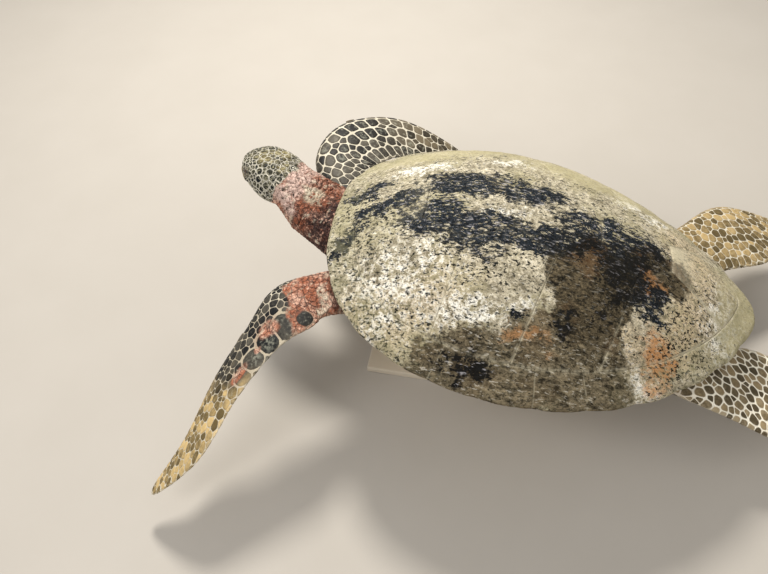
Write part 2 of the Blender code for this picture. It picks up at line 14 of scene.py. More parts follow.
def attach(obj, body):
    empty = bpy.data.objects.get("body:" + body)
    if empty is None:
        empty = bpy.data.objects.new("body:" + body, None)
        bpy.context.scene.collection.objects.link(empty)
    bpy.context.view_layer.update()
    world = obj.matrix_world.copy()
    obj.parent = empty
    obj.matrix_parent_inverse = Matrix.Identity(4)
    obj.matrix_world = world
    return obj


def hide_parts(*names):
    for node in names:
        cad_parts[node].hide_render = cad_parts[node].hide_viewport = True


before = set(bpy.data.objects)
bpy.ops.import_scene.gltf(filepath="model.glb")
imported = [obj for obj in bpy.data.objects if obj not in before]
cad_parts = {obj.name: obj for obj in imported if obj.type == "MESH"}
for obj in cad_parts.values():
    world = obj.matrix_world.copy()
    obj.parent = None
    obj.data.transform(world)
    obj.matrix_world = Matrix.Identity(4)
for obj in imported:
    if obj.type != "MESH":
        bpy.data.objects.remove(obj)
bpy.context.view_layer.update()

# ---------------------------------------------------------------------------------------------------------
# The turtle's place. The animal is modelled level, head towards -Y and its left side towards +X, with its
# origin in the plane of the shell's rim. The mount tips it nose up and lifts it over the board.

NOSE_UP = math.radians(7)
BODY_PLACE = (0.03, 0.04, 0.302)
turtle_turn = Matrix.Rotation(-NOSE_UP, 3, "X")
TURN = np.array(turtle_turn)


def in_place(points):
    """Points of the level animal, as an array of rows, moved to where the mount holds them."""
    return points @ TURN.T + np.array(BODY_PLACE)


def smooth(t):
    t = np.clip(t, 0.0, 1.0)
    return t * t * (3 - 2 * t)


def turns(count):
    """Angles an even step apart, once round."""
    return np.linspace(0, 2 * math.pi, count, endpoint=False)


def soft_spot(*gaps):
    """1 where every gap is 0, fading away as they grow."""
    return np.exp(-sum(gap**2 for gap in gaps))


def make(name, points, faces, looks, nodes=()):
    """A piece of the animal from points and faces, standing in for the named solids."""
    mesh = bpy.data.meshes.new(name)
    mesh.from_pydata(in_place(points).tolist(), [], faces)
    mesh.shade_smooth()
    mesh.materials.append(looks)
    piece = bpy.data.objects.new(name, mesh)
    bpy.context.collection.objects.link(piece)
    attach(piece, "root")
    if nodes:
        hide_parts(*nodes)
    return piece


def mark(piece, name, values):
    """Keeps one number for each point of a piece, which its material reads."""
    layer = piece.data.attributes.new(name, "FLOAT", "POINT")
    layer.data.foreach_set("value", np.asarray(values, np.float32))


# ---------------------------------------------------------------------------------------------------------
# The shell's large plates: five down the middle and four to each side. Each is horn about 6 mm thick over
# bone, worn dull, grown over with algae, and butts against its neighbours at a narrow grimy seam.

SHELL_LENGTH = 0.95
SHELL_HALF_WIDTH = 0.365
SHELL_RISE = 0.177
FRONT_SHARE = 0.42
FRONT_BLUNT, REAR_BLUNT = 0.8, 1.42
DOME_ANGLE = math.radians(55)
NAPE_LIFT = 0.035
LIP_LIFT, LIP_START = 0.012, 0.85
RIM_WIDTH = 0.055
PLATE_THICK = 0.006
PLATE_PILLOW = 0.0026
GRAIN_RELIEF, FINE_RELIEF, RING_RELIEF, MOST_RELIEF = 0.0005, 0.00028, 0.00022, 0.0012
RING_PITCH, RING_FADE = 900, 0.03
EDGE_DROP, EDGE_WIDTH = 0.0009, 0.0024
GRIME_WIDTH = 0.0045
SHOWN_SEAM = 0.0002  # the seam as grime leaves it
NUCHAL_END, VERTEBRAL_1_END = 0.1, 0.2
COSTAL_ENDS = [1.13, 1.60, 1.97, 2.718]
TAIL_END = math.pi - 0.1
CROSS_SEAMS = [(0.055, -0.205), (0.055, -0.025), (0.050, 0.155), (0.038, 0.315)]
SIDE_CORNERS = [(0.105, -0.115), (0.105, 0.065), (0.090, 0.235)]


def rim(phi):
    """The rim in plan: phi runs from 0 over the neck to pi over the tail, and is negative on the right."""
    phi = np.asarray(phi, float)
    s, c = np.abs(np.sin(phi)), np.cos(phi)
    x = SHELL_HALF_WIDTH * s ** np.where(c > 0, FRONT_BLUNT, REAR_BLUNT)
    y = -c * SHELL_LENGTH * np.where(c > 0, FRONT_SHARE, 1 - FRONT_SHARE)
    return np.stack([np.copysign(x, phi), y], axis=-1)


def reach_of(phi):
    return np.linalg.norm(rim(phi), axis=-1)


def dome(rho):
    base = math.cos(DOME_ANGLE)
    return (np.sqrt(np.maximum(1 - (rho * math.sin(DOME_ANGLE)) ** 2, 0)) - base) / (1 - base)


def rim_height(phi):
    return NAPE_LIFT * soft_spot(phi / 0.5)


def shell_top(phi, rho):
    """A point of the dome at share rho of the way from the middle to the rim."""
    lip = LIP_LIFT * (np.maximum(rho - LIP_START, 0) / (1 - LIP_START)) ** 2
    z = rim_height(phi) * rho**3 + SHELL_RISE * dome(rho) + lip
    return np.concatenate([rim(phi) * np.asarray(rho)[..., None], z[..., None]], axis=-1)


spoke_phi = np.linspace(0, math.pi, 900)
spoke_rim = rim(spoke_phi)
spoke_aim = np.arctan2(spoke_rim[:, 0], -spoke_rim[:, 1])


def shell_place(plan):
    """phi and rho of places in plan."""
    aim = np.arctan2(np.abs(plan[..., 0]), -plan[..., 1])
    phi = np.copysign(np.interp(aim, spoke_aim, spoke_phi), plan[..., 0])
    return phi, np.linalg.norm(plan, axis=-1) / reach_of(phi)


def seam_ring(phi):
    """The seam between the rim's plates and the large ones, in plan."""
    edge = rim(phi)
    return edge * (1 - RIM_WIDTH / reach_of(phi))[..., None]


def along(points, t):
    """Places at shares t of a run of points whose stretches count the same."""
    points = np.asarray(points, float)
    at = np.clip(t, 0, 1) * (len(points) - 1)
    i = np.minimum(at.astype(int), len(points) - 2)
    f = (at - i)[:, None]
    return points[i] * (1 - f) + points[i + 1] * f


def lumps(points, size, seed, octaves=4):
    """Rounded random relief between about -1 and 1, with detail down from the given size."""
    rng = np.random.default_rng(seed)
    total, weight = np.zeros(len(points)), 1.0
    for _ in range(octaves):
        for _ in range(3):
            aim = rng.normal(size=3)
            aim /= np.linalg.norm(aim)
            bend = rng.normal(size=3)
            bend /= np.linalg.norm(bend)
            phase = rng.uniform(0, 7, 2)
            run = points @ aim * 6.3 / size + phase[0]
            total += weight * np.sin(run + 1.7 * np.sin(points @ bend * 4.1 / size + phase[1])) / 2.2
        size, weight = size * 0.53, weight * 0.6
    return total


def plate_shares(steps):
    """Shares across a plate, close together at its two edges so that they can be rounded over."""
    edge = np.array([0.0, 0.004, 0.011, 0.022])
    return np.concatenate([edge, np.linspace(0.04, 0.96, steps), 1 - edge[::-1]])


def horn_plate(name, plan, node, looks, seed):
    """One plate from a grid of places in plan: crowned, ringed by its growth, lumpy, rounded at its edges."""
    high, wide = plan.shape[:2]
    v, u = np.meshgrid(plate_shares(high - 8), plate_shares(wide - 8), indexing="ij")
    centre = plan.mean(axis=(0, 1))
    size = np.linalg.norm(plan - centre, axis=2).mean() * 2
    trim = SHOWN_SEAM * 0.5 / size
    plan = plan + (centre - plan) * (2 * trim) * np.maximum(np.abs(2 * u - 1), np.abs(2 * v - 1))[..., None]
    phi, rho = shell_place(plan)
    top = shell_top(phi, rho)
    from_edge = np.minimum(np.minimum(u, 1 - u), np.minimum(v, 1 - v)) * size
    crown = PLATE_PILLOW * (1 - (2 * v - 1) ** 4) * (1 - (2 * u - 1) ** 4)
    grain = lumps(top.reshape(-1, 3), 0.05, seed).reshape(high, wide)
    fine = lumps(top.reshape(-1, 3), 0.012, seed + 50, 3).reshape(high, wide)
    rings = np.sin(from_edge * RING_PITCH + 2.5 * grain) * np.exp(-from_edge / RING_FADE)
    rings = rings * smooth(from_edge / 0.004)
    lift = crown + GRAIN_RELIEF * grain + FINE_RELIEF * fine + RING_RELIEF * rings
    lift = np.minimum(lift, crown + MOST_RELIEF) - EDGE_DROP * (1 - smooth(from_edge / EDGE_WIDTH)) ** 2
    under = top - np.array([0, 0, PLATE_THICK])
    top = top + lift[..., None] * np.array([0, 0, 1.0])
    points = np.concatenate([top.reshape(-1, 3), under.reshape(-1, 3)])
    index = np.arange(high * wide).reshape(high, wide)
    a, b, c, d = index[:-1, :-1], index[:-1, 1:], index[1:, 1:], index[1:, :-1]
    faces = np.stack([a, b, c, d], axis=-1).reshape(-1, 4)
    loop = np.concatenate([index[0, :-1], index[:-1, -1], index[-1, :0:-1], index[:0:-1, 0]])
    after = np.roll(loop, -1)
    count = high * wide
    walls = np.stack([after, loop, loop + count, after + count], axis=-1)
    faces = np.concatenate([faces, faces[:, ::-1] + count, walls])
    piece = make(name, points, faces.tolist(), looks, [node])
    mark(piece, "seam", np.tile(1 - smooth(from_edge.ravel() / GRIME_WIDTH), 2))
    outward(piece)


def outward(piece):
    """Turns a closed piece's faces outwards."""
    bm = bmesh.new()
    bm.from_mesh(piece.data)
    bmesh.ops.recalc_face_normals(bm, faces=bm.faces)
    bm.to_mesh(piece.data)
    bm.free()


class Wire:
    """A socket in a material's nodes. Arithmetic on it adds the nodes that work it out."""

    def __init__(self, tree, socket=None):
        self.tree, self.socket = tree, socket

    def node(self, kind, settings=None, sockets=None, out=0):
        """Adds a node, with its settings made first, then the values or links of its sockets."""
        made = self.tree.nodes.new("ShaderNode" + kind)
        for key, value in (settings or {}).items():
            setattr(made, key, value)
        for key, value in (sockets or {}).items():
            if isinstance(value, Wire):
                self.tree.links.new(value.socket, made.inputs[key])
            else:
                made.inputs[key].default_value = value
        return Wire(self.tree, made.outputs[out])

    def maths(self, operation, *values):
        return self.node("Math", {"operation": operation}, dict(enumerate(values)))

    def __add__(self, other):
        return self.maths("ADD", self, other)

    def __sub__(self, other):
        return self.maths("SUBTRACT", self, other)

    def __mul__(self, other):
        return self.maths("MULTIPLY", self, other)

    def __rsub__(self, other):
        return self.maths("SUBTRACT", other, self)

    __radd__, __rmul__ = __add__, __mul__

    def over(self, other):
        """The larger of two values."""
        return self.maths("MAXIMUM", self, other)

    def step(self, low, high):
        """0 up to low, 1 from high, smooth between; the other way round where low is above high."""
        limits = {"From Min": low, "From Max": high}
        return self.node("MapRange", {"interpolation_type": "SMOOTHSTEP"}, {"Value": self, **limits})

    def mix(self, other, mask):
        """This colour turned to another where the mask is 1."""
        other = other if isinstance(other, Wire) else (*other, 1.0)
        return self.node("Mix", {"data_type": "RGBA"}, {0: mask, 6: self, 7: other}, 2)

    def coats(self, *rows):
        """This colour under others, each given with its mask, from the lowest up."""
        return functools.reduce(lambda under, row: under.mix(*row), rows, self)

    def between(self, low, high):
        """A colour that runs from one to another as this value goes from 0 to 1."""
        return self.node("Mix", {"data_type": "RGBA"}, {0: self, 6: (*low, 1.0), 7: (*high, 1.0)}, 2)

    def shade(self, amount):
        """This colour times a value, which may be above 1."""
        grey = self.node("CombineColor", None, {0: amount, 1: amount, 2: amount})
        settings = {"data_type": "RGBA", "blend_type": "MULTIPLY"}
        return self.node("Mix", settings, {0: 1.0, 6: self, 7: grey}, 2)

    def deepen(self, power):
        """This colour with its darks made darker and its lights left."""
        return self.node("Gamma", None, {"Color": self, "Gamma": power}, "Color")

    def noise(self, place, scale, detail=3.0, roughness=0.5, distortion=0.0, out=0):
        values = {"Vector": place, "Scale": scale, "Detail": detail, "Roughness": roughness}
        return self.node("TexNoise", None, {**values, "Distortion": distortion}, out)

    def stretch(self, size, turn=0.0):
        """Coordinates squeezed along their axes, after a turn about the upright one."""
        return self.node("Mapping", None, {"Vector": self, "Rotation": (0, 0, turn), "Scale": size})

    def oval(self, x, y, wide, long, turn=0.0, soft=0.35):
        """1 within an oval in plan and 0 outside it, for coordinates of the level animal."""
        placed = {"Vector": self, "Location": (x, y, 0), "Rotation": (0, 0, turn), "Scale": (wide, long, 9)}
        inside = self.node("Mapping", {"vector_type": "TEXTURE"}, placed)
        length = self.node("VectorMath", {"operation": "LENGTH"}, {0: inside}, "Value")
        return length.step(1 + soft, 1 - soft)

    def marks(self, *names):
        """The numbers that the points of a piece carry under these names."""
        return [self.node("Attribute", {"attribute_name": name}, out="Fac") for name in names]

    def cells(self, scale):
        """How far in from the edges of irregular cells these coordinates lie."""
        sockets = {"Vector": self, "Scale": scale}
        return self.node("TexVoronoi", {"feature": "DISTANCE_TO_EDGE"}, sockets, "Distance")


def begin(name, level=True):
    """A new material: its first wire, its shader's sockets, and its coordinates in metres.

    They are those of the level animal, or else the object's own.
    """
    material = bpy.data.materials.new(name)
    material.use_nodes = True
    paint = Wire(material.node_tree)
    place = paint.node("TexCoord", out="Object")
    if level:
        placed = {"Vector": place, "Location": BODY_PLACE, "Rotation": (-NOSE_UP, 0, 0)}
        place = paint.node("Mapping", {"vector_type": "TEXTURE"}, placed)
    return material, paint, material.node_tree.nodes["Principled BSDF"].inputs, place


def join(paint, inputs, colour, roughness=None, height=None, depth=0.0, strength=0.0):
    """Feeds a shader with what changes over the surface; depth and strength are those of the height."""
    paint.tree.links.new(colour.socket, inputs["Base Color"])
    if roughness is not None:
        paint.tree.links.new(roughness.socket, inputs["Roughness"])
    if height is not None:
        bump = paint.node("Bump", None, {"Height": height, "Distance": depth, "Strength": strength})
        paint.tree.links.new(bump.socket, inputs["Normal"])


# Where the colours lie on the shell, in ovals seen from above: (middle x and y, half sizes, turn, softness)
SHELL_PATCHES = {
    "ink": [
        (-0.048, -0.335, 0.022, 0.05, 0.55, 0.5), (0.0, -0.265, 0.034, 0.07, 0.55, 0.5),
        (0.05, -0.185, 0.052, 0.08, 0.35, 0.5), (0.078, -0.085, 0.058, 0.09, 0.1, 0.5),
        (0.076, 0.015, 0.036, 0.08, 0.0, 0.5), (0.064, 0.12, 0.036, 0.09, 0.0, 0.5),
        (0.082, 0.215, 0.04, 0.07, 0.35, 0.5), (0.125, 0.262, 0.034, 0.034, 0.6, 0.5),
        (-0.055, -0.14, 0.046, 0.1, 0.1, 0.6), (-0.05, 0.0, 0.04, 0.09, 0.0, 0.6),
        (0.004, 0.13, 0.034, 0.08, 0.1, 0.6), (0.018, 0.24, 0.036, 0.08, 0.1, 0.6),
        (0.03, -0.33, 0.014, 0.06, 0.9, 0.6), (0.318, -0.06, 0.02, 0.06, 0.1, 0.6),
        (0.228, 0.095, 0.014, 0.03, 0.3, 0.6), (0.2, 0.17, 0.012, 0.026, 0.3, 0.6),
        (0.15, 0.29, 0.012, 0.03, 0.4, 0.6), (0.232, 0.006, 0.012, 0.018, 0.3, 0.6),
        (0.105, -0.35, 0.024, 0.06, 1.0, 0.9), (0.14, 0.215, 0.02, 0.06, 0.4, 0.7),
        (0.035, 0.185, 0.06, 0.11, 0.2, 0.9),
    ],
    "white": [
        (0.238, -0.1, 0.03, 0.085, 0.05, 0.7), (0.235, 0.022, 0.03, 0.04, 0.2, 0.7),
        (0.272, 0.255, 0.032, 0.062, -0.3, 0.7), (0.024, -0.05, 0.018, 0.06, 0.1, 0.6),
        (-0.004, 0.148, 0.014, 0.035, 0.1, 0.6), (-0.105, -0.235, 0.018, 0.09, 0.25, 0.6),
        (0.19, -0.22, 0.08, 0.1, 0.2, 0.9), (0.255, -0.25, 0.05, 0.06, 0.6, 0.9),
        (0.31, 0.225, 0.03, 0.04, -0.3, 0.8), (0.085, 0.44, 0.09, 0.06, 0.0, 0.6),
        (-0.165, -0.052, 0.02, 0.05, 0.1, 0.6), (-0.135, 0.25, 0.035, 0.08, -0.2, 0.8),
    ],
    "rear_brown": [
        (0.12, 0.15, 0.09, 0.105, 0.2, 0.35), (0.175, 0.15, 0.075, 0.085, 0.4, 0.35),
        (0.06, 0.27, 0.05, 0.09, 0.1, 0.6),
    ],
    "side_brown": [
        (0.285, 0.125, 0.085, 0.125, -0.15, 0.35), (0.318, -0.075, 0.046, 0.105, 0.05, 0.5),
        (0.34, 0.01, 0.036, 0.11, 0.0, 0.5),
    ],
    "tan": [
        (0.13, 0.355, 0.11, 0.06, -0.5, 0.8), (0.0, 0.38, 0.13, 0.07, 0.2, 0.8),
        (0.25, 0.265, 0.04, 0.07, -0.5, 0.8), (0.24, -0.22, 0.06, 0.11, 0.3, 1.0),
    ],
    "pepper": [
        (0.2, -0.29, 0.15, 0.09, 0.6, 0.8), (0.3, -0.12, 0.05, 0.17, 0.1, 0.8),
        (0.13, -0.11, 0.05, 0.15, 0.1, 0.8), (0.15, 0.38, 0.12, 0.06, -0.5, 0.8),
    ],
    "orange": [
        (0.222, 0.303, 0.058, 0.036, 0.2, 0.6), (0.095, 0.262, 0.02, 0.036, 0.2, 0.8),
        (0.268, 0.035, 0.018, 0.04, 0.1, 0.7),
    ],
    "khaki": [
        (0.06, 0.51, 0.14, 0.075, 0.0, 0.4), (-0.215, -0.2, 0.05, 0.17, 0.35, 0.4),
        (-0.195, 0.15, 0.06, 0.19, -0.15, 0.5),
    ],
}


def grown_horn(name, rim_green):
    """Dull horn under algae: flecks of several sizes over cream, khaki and brown, streaked along the body."""
    material, paint, inputs, place = begin(name)
    drift = paint.noise(place, 17.0, 5.0, 0.65, out="Color")
    drift = paint.node("VectorMath", {"operation": "SUBTRACT"}, {0: drift, 1: (0.5, 0.5, 0.5)})
    drift = paint.node("VectorMath", {"operation": "SCALE"}, {0: drift, "Scale": 0.14})
    loose = paint.node("VectorMath", {"operation": "ADD"}, {0: place, 1: drift})
    cloud = paint.noise(place, 9.0, 5.0, 0.6)
    mottle = paint.noise(place, 84.0, 6.0, 0.70)
    fleck = paint.noise(place.stretch((190.0, 110.0, 160.0), 0.35), 1.0, 5.0, 0.72)
    speck = paint.noise(place, 210.0, 4.0, 0.7)
    grit = paint.noise(place, 620.0, 3.0, 0.7)
    streak = paint.noise(place.stretch((130.0, 46.0, 100.0), 0.30), 1.0, 7.0, 0.72, 0.9)
    thread = paint.noise(place.stretch((230.0, 62.0, 160.0), 0.30), 1.0, 5.0, 0.68)
    ink, white, rear_brown, side_brown, tan, pepper, orange, khaki = (
        functools.reduce(Wire.over, [loose.oval(*row) for row in rows]) for rows in SHELL_PATCHES.values()
    )
    brown = rear_brown.over(side_brown)
    calm = 1 - khaki * 0.7
    sweep = paint.noise(place.stretch((27.0, 15.0, 25.0), 0.30), 1.0, 5.0, 0.62, 1.4)
    grain = mottle * 0.40 + fleck * 0.23 + speck * 0.17 + sweep * 0.20
    run = streak * 0.52 + fleck * 0.23 + speck * 0.14 + sweep * 0.11
    colour = grain.step(0.42, 0.57).between((0.165, 0.142, 0.094), (0.720, 0.645, 0.480)).coats(
        ((0.350, 0.315, 0.185), cloud.step(0.44, 0.60) * 0.52),
        ((0.640, 0.500, 0.310), tan * grain.step(0.42, 0.54) * 0.75),
        ((0.90, 0.87, 0.78), (grain + white * 0.078).step(0.535, 0.615) * 0.94),
        ((0.41, 0.365, 0.215), khaki * 0.70),
    )
    # Two brown areas, on the rear half and along the near side, darker than the mottle around them
    rear_brown_colour = (mottle * 0.40 + streak * 0.60).step(0.38, 0.64)
    rear_brown_colour = rear_brown_colour.between((0.004, 0.004, 0.003), (0.150, 0.118, 0.070)).coats(
        ((0.170, 0.095, 0.044), cloud.step(0.48, 0.62) * 0.42),
        ((0.32, 0.25, 0.155), (speck * 0.6 + streak * 0.4).step(0.53, 0.63) * 0.55),
    )
    side_brown_colour = (grain * 0.6 + streak * 0.4).step(0.42, 0.59)
    side_brown_colour = side_brown_colour.between((0.024, 0.020, 0.012), (0.300, 0.245, 0.155))
    side_brown_colour = side_brown_colour.mix((0.180, 0.125, 0.068), cloud.step(0.50, 0.64) * 0.25)
    rusty = (grain * 0.6 + streak * 0.4 + orange * 0.12).step(0.52, 0.62) * orange * 0.9
    dull = (mottle * 0.4 + fleck * 0.6).step(0.515, 0.560) * calm * (1 - white * 0.3) * (1 - brown)
    spots = (fleck + cloud * 0.10 + pepper * 0.042 - white * 0.012).step(0.619, 0.652)
    spots = spots * calm * (1 - side_brown * 0.5)
    dots = (speck + pepper * 0.015).step(0.650, 0.695) * (1 - khaki * 0.5) * (1 - side_brown * 0.5)
    blots = (run + ink * 0.128 - khaki * 0.03).step(0.564, 0.594)
    blue = speck.step(0.40, 0.62).between((0.003, 0.005, 0.008), (0.026, 0.034, 0.043))
    blue = blue.mix((0.028, 0.025, 0.018), 1 - ink * 0.9).mix((0.010, 0.008, 0.005), brown * 0.8)
    pale_thread = thread.step(0.57, 0.64) * (0.55 + ink * 0.02 - khaki * 0.3) * (1 - rear_brown * 0.62)
    dark_thread = thread.step(0.40, 0.33) * (0.55 - khaki * 0.4) * (1 - side_brown * 0.4)
    tail_end = loose.oval(0.06, 0.46, 0.20, 0.17)
    seam = paint.marks("seam")[0] * (mottle + tail_end * 0.1).step(0.38, 0.56)
    colour = colour.coats(
        (side_brown_colour, (grain + side_brown * 0.50).step(0.66, 0.80)),
        (rear_brown_colour, (grain + rear_brown * 0.50).step(0.66, 0.80)),
        ((0.52, 0.25, 0.095), rusty * (1 - brown * 0.5)),
        ((0.048, 0.043, 0.027), dull * 0.74),
        ((0.008, 0.009, 0.008), spots),
        ((0.014, 0.014, 0.011), dots * 0.92),
        (blue, blots),
        (ink.between((0.62, 0.58, 0.48), (0.50, 0.48, 0.49)), pale_thread),
        ((0.028, 0.026, 0.020), dark_thread),
        ((0.52, 0.47, 0.34), seam * (0.55 + tail_end * 0.45) * (1 - rear_brown * 0.8) * (1 - ink * 0.8)),
    )
    if rim_green:
        green = paint.noise(place, 30.0, 4.0, 0.6).step(0.40, 0.62) * 0.35
        colour = colour.mix((0.27, 0.25, 0.14), green * (1 - brown))
    colour = colour.shade(grit * 0.9 + 0.55).deepen(1.06)
    height = mottle * 0.5 + fleck * 0.35 + speck * 0.3 + grit * 0.2 - spots * 0.12
    join(paint, inputs, colour, 0.60 + grit * 0.28, height, 0.0020, 0.85)
    inputs["Specular IOR Level"].default_value = 0.06
    return material


shell_looks = grown_horn("grown_horn", False)
cross = np.array(CROSS_SEAMS)
corner = np.array(SIDE_CORNERS)
shares = plate_shares(44)
across = np.abs(2 * shares - 1)
halves = np.stack([np.sign(2 * shares - 1), np.ones(len(shares))], axis=1)
vertebral_sides = [
    [*seam_ring(np.linspace(NUCHAL_END, VERTEBRAL_1_END, 12)), cross[0]],
    [cross[0], corner[0], cross[1]],
    [cross[1], corner[1], cross[2]],
    [cross[2], corner[2], cross[3]],
    [cross[3], *seam_ring(np.linspace(COSTAL_ENDS[3], TAIL_END, 12))],
]
for number, side in enumerate(vertebral_sides, 1):
    left = along(side, shares)
    right = left * np.array([-1, 1])
    plan = right[:, None] + (left - right)[:, None] * shares[None, :, None]
    if number == 1:
        arc = seam_ring(NUCHAL_END * across) * halves
        plan = plan + (arc - plan[0]) * (1 - smooth(shares / 0.5))[:, None, None]
    if number == 5:
        arc = seam_ring(math.pi - (math.pi - TAIL_END) * across) * halves
        plan = plan + (arc - plan[-1]) * smooth((shares - 0.5) / 0.5)[:, None, None]
    horn_plate(f"plate_middle_{number}", plan, f"vertebral_{number}", shell_looks, number)

costal_inner = [
    [cross[0], corner[0]],
    [corner[0], cross[1], corner[1]],
    [corner[1], cross[2], corner[2]],
    [corner[2], cross[3]],
]
costal_ends = [VERTEBRAL_1_END, *COSTAL_ENDS]
for side, sign in (("left", 1), ("right", -1)):
    for number, (line, first, last) in enumerate(zip(costal_inner, costal_ends, costal_ends[1:])):
        start, finish = along(line, shares), seam_ring(first + (last - first) * shares)
        plan = (start[:, None] + (finish - start)[:, None] * shares[None, :, None]) * np.array([sign, 1])
        called, seed = f"{side}_{number + 1}", 20 + number * sign
        horn_plate("plate_" + called, plan, "costal_" + called, shell_looks, seed)

# ---------------------------------------------------------------------------------------------------------
# The rim: a short wide plate over the neck and twelve down each side, each folded round the shell's edge.
# They are of the same horn, greener, and a little toothed towards the tail.

MARGINALS = 12
rim_looks = grown_horn("grown_rim_horn", True)


def marginal_ends():
    """Where the rim's plates end, an even length apart."""
    phi = np.linspace(NUCHAL_END, math.pi, 401)
    run = np.concatenate([[0], np.cumsum(np.linalg.norm(np.diff(rim(phi), axis=0), axis=1))])
    return [phi[np.argmax(run >= run[-1] * k / MARGINALS - 1e-9)] for k in range(MARGINALS + 1)]


NOSE_RADIUS = 0.0052
OUTER_POINTS = 26  # of a slice, over the top and round the nose


def rim_section(phi, bulge):
    """A slice through a rim plate: over the top, round the nose, back beneath and up the inner slope."""
    edge, reach = rim(phi), reach_of(phi)
    inner = 1 - (RIM_WIDTH - SHOWN_SEAM) / reach
    out = edge / reach
    foot = shell_top(phi, np.array(1.0))[2]
    points = []
    for share in [0, 0.02, 0.05, *np.linspace(0.1, 0.93, 16)]:
        point = shell_top(phi, np.array(inner + (0.992 - inner) * share))
        rounded = -0.0012 * (1 - smooth(share / 0.05)) ** 2
        point[:2] += out * bulge * smooth((share - 0.3) / 0.6)
        point[2] += rounded + 0.0004 * smooth(share / 0.1)
        points.append(point)
    middle = np.array([*(edge * 0.985 + out * bulge), foot - 0.0055])
    for angle in np.radians([62, 40, 18, -4, -28, -55, -80]):
        points.append(middle + np.array([*(out * math.cos(angle)), math.sin(angle)]) * NOSE_RADIUS)
    for rho, drop in ((0.965, 0.0105), (0.945, 0.0100), (0.92, 0.0092), (0.90, 0.0082)):
        points.append(np.array([*(edge * rho + out * bulge * 0.5), foot - drop]))
    under = shell_top(phi, np.array(inner)) - np.array([0, 0, PLATE_THICK + 0.003])
    points.append(points[-1] * 0.5 + under * 0.5)
    points.append(under)
    return np.array(points)


def tube_faces(high, wide, capped=True):
    """Faces of a tube through `high` rings of `wide` points, closed with a face at each end."""
    index = np.arange(high * wide).reshape(high, wide)
    after = np.roll(index, -1, axis=1)
    faces = np.stack([index[:-1], after[:-1], after[1:], index[1:]], axis=-1).reshape(-1, 4).tolist()
    return faces + [index[0].tolist(), index[-1][::-1].tolist()] if capped else faces


def loft(name, rings, looks, node):
    """A piece through rings, closed at both ends."""
    piece = make(name, rings.reshape(-1, 3), tube_faces(*rings.shape[:2]), looks, [node])
    outward(piece)
    return piece


RIM_GRAIN, RIM_FINE, RIM_DROP = 0.0004, 0.00025, 0.0008


def folded_plate(name, sections, node, seed):
    """Closes a run of slices into one plate and gives it the horn's relief."""
    high, wide = sections.shape[:2]
    flat = sections.reshape(-1, 3)
    relief = RIM_GRAIN * lumps(flat, 0.04, seed) + RIM_FINE * lumps(flat, 0.011, seed + 9, 3)
    edge = np.minimum(np.arange(high), np.arange(high)[::-1])
    fade = smooth(edge / 3.0)[:, None]
    relief = relief.reshape(high, wide) * fade * 0.9 - RIM_DROP * (1 - smooth(edge / 2.0))[:, None]
    middle = sections.mean(axis=1, keepdims=True)
    away = sections - middle
    away /= np.linalg.norm(away, axis=2, keepdims=True)
    top = (np.arange(wide) < OUTER_POINTS) * 1.0
    piece = loft(name, sections + away * (relief * top)[..., None], rim_looks, node)
    inner_edge = np.zeros(wide)
    inner_edge[:4] = (1.0, 0.7, 0.4, 0.1)
    mark(piece, "seam", np.maximum((1 - smooth(edge / 3.0))[:, None], inner_edge).ravel())


ends = marginal_ends()
for side, sign in (("left", 1), ("right", -1)):
    for number, (start, finish) in enumerate(zip(ends, ends[1:]), 1):
        gap = SHOWN_SEAM * 0.5 / reach_of((start + finish) / 2)
        jut = 0.002 + 0.003 * smooth((number - 5) / 4)
        sections = []
        for share in plate_shares(18):
            phi = sign * (start + gap + (finish - start - 2 * gap) * share)
            sections.append(rim_section(phi, jut * math.sin(math.pi * share)))
        called, seed = f"{side}_{number}", 60 + number * sign
        folded_plate("rim_plate_" + called, np.array(sections), "marginal_" + called, seed)
gap = SHOWN_SEAM * 0.5 / reach_of(0.0)
sections = [rim_section((NUCHAL_END - gap) * (2 * share - 1) + 1e-6, 0.0) for share in plate_shares(24)]
folded_plate("rim_plate_neck", np.array(sections), "nuchal", 99)

# ---------------------------------------------------------------------------------------------------------
# The belly plate: smooth pale yellow horn in pairs of plates with fine sunk seams, lying under the trunk and
# reaching up a bridge to the rim at each side.

BELLY_DEPTH = 0.13
BELLY_FLAT = (0.48, 0.68)
BELLY_EDGE = 0.88
PLASTRON_THICK = 0.010
PLASTRON_GAP = 0.0015


def belly(phi, rho):
    """The underside of the trunk: flat in the middle, rising to the rim."""
    edge = 0.5 * rim_height(phi) - 0.004
    flat = BELLY_FLAT[0] + (BELLY_FLAT[1] - BELLY_FLAT[0]) * np.cos(phi) ** 2
    fall = smooth((BELLY_EDGE - rho) / (BELLY_EDGE - flat))
    z = edge - (BELLY_DEPTH + edge) * fall
    return np.concatenate([rim(phi) * rho[..., None], z[..., None]], axis=-1)


def plastron_edge(phi):
    bridge = soft_spot((np.abs(phi) - 1.5) / 0.42)
    return 0.62 + 0.255 * bridge + 0.10 * np.cos(phi) ** 4


BELLY_SEAMS = [-0.255, -0.165, -0.045, 0.085, 0.205, 0.300]  # places along the body
BRIDGE_SEAM = 0.185  # from the midline
BRIDGE_SEAMS = (-0.11, 0.0, 0.11)  # across the bridges
GROOVE_WIDTH, GROOVE_DEPTH = 0.0038, 0.0012
phi = np.linspace(-math.pi, math.pi, 500, endpoint=False) + 1e-4
shares = np.concatenate([[0.012], np.linspace(0.04, 0.96, 96), [0.975, 0.992, 1.0]])
turn, share = np.meshgrid(phi, shares)
lower = belly(turn, plastron_edge(turn) * share) - np.array([0, 0, PLASTRON_GAP + PLASTRON_THICK])
x, y = lower[..., 0], lower[..., 1]
seams = [np.abs(x + 0.002 * np.sin(y * 30))]
for number, place in enumerate(BELLY_SEAMS):
    seams.append(np.abs(y - place - 0.10 * np.abs(x) * (1 if number < 3 else -1) - 0.003 * np.sin(x * 40)))
inner = [np.where(np.abs(x) < BRIDGE_SEAM, seam, 1.0) for seam in seams]
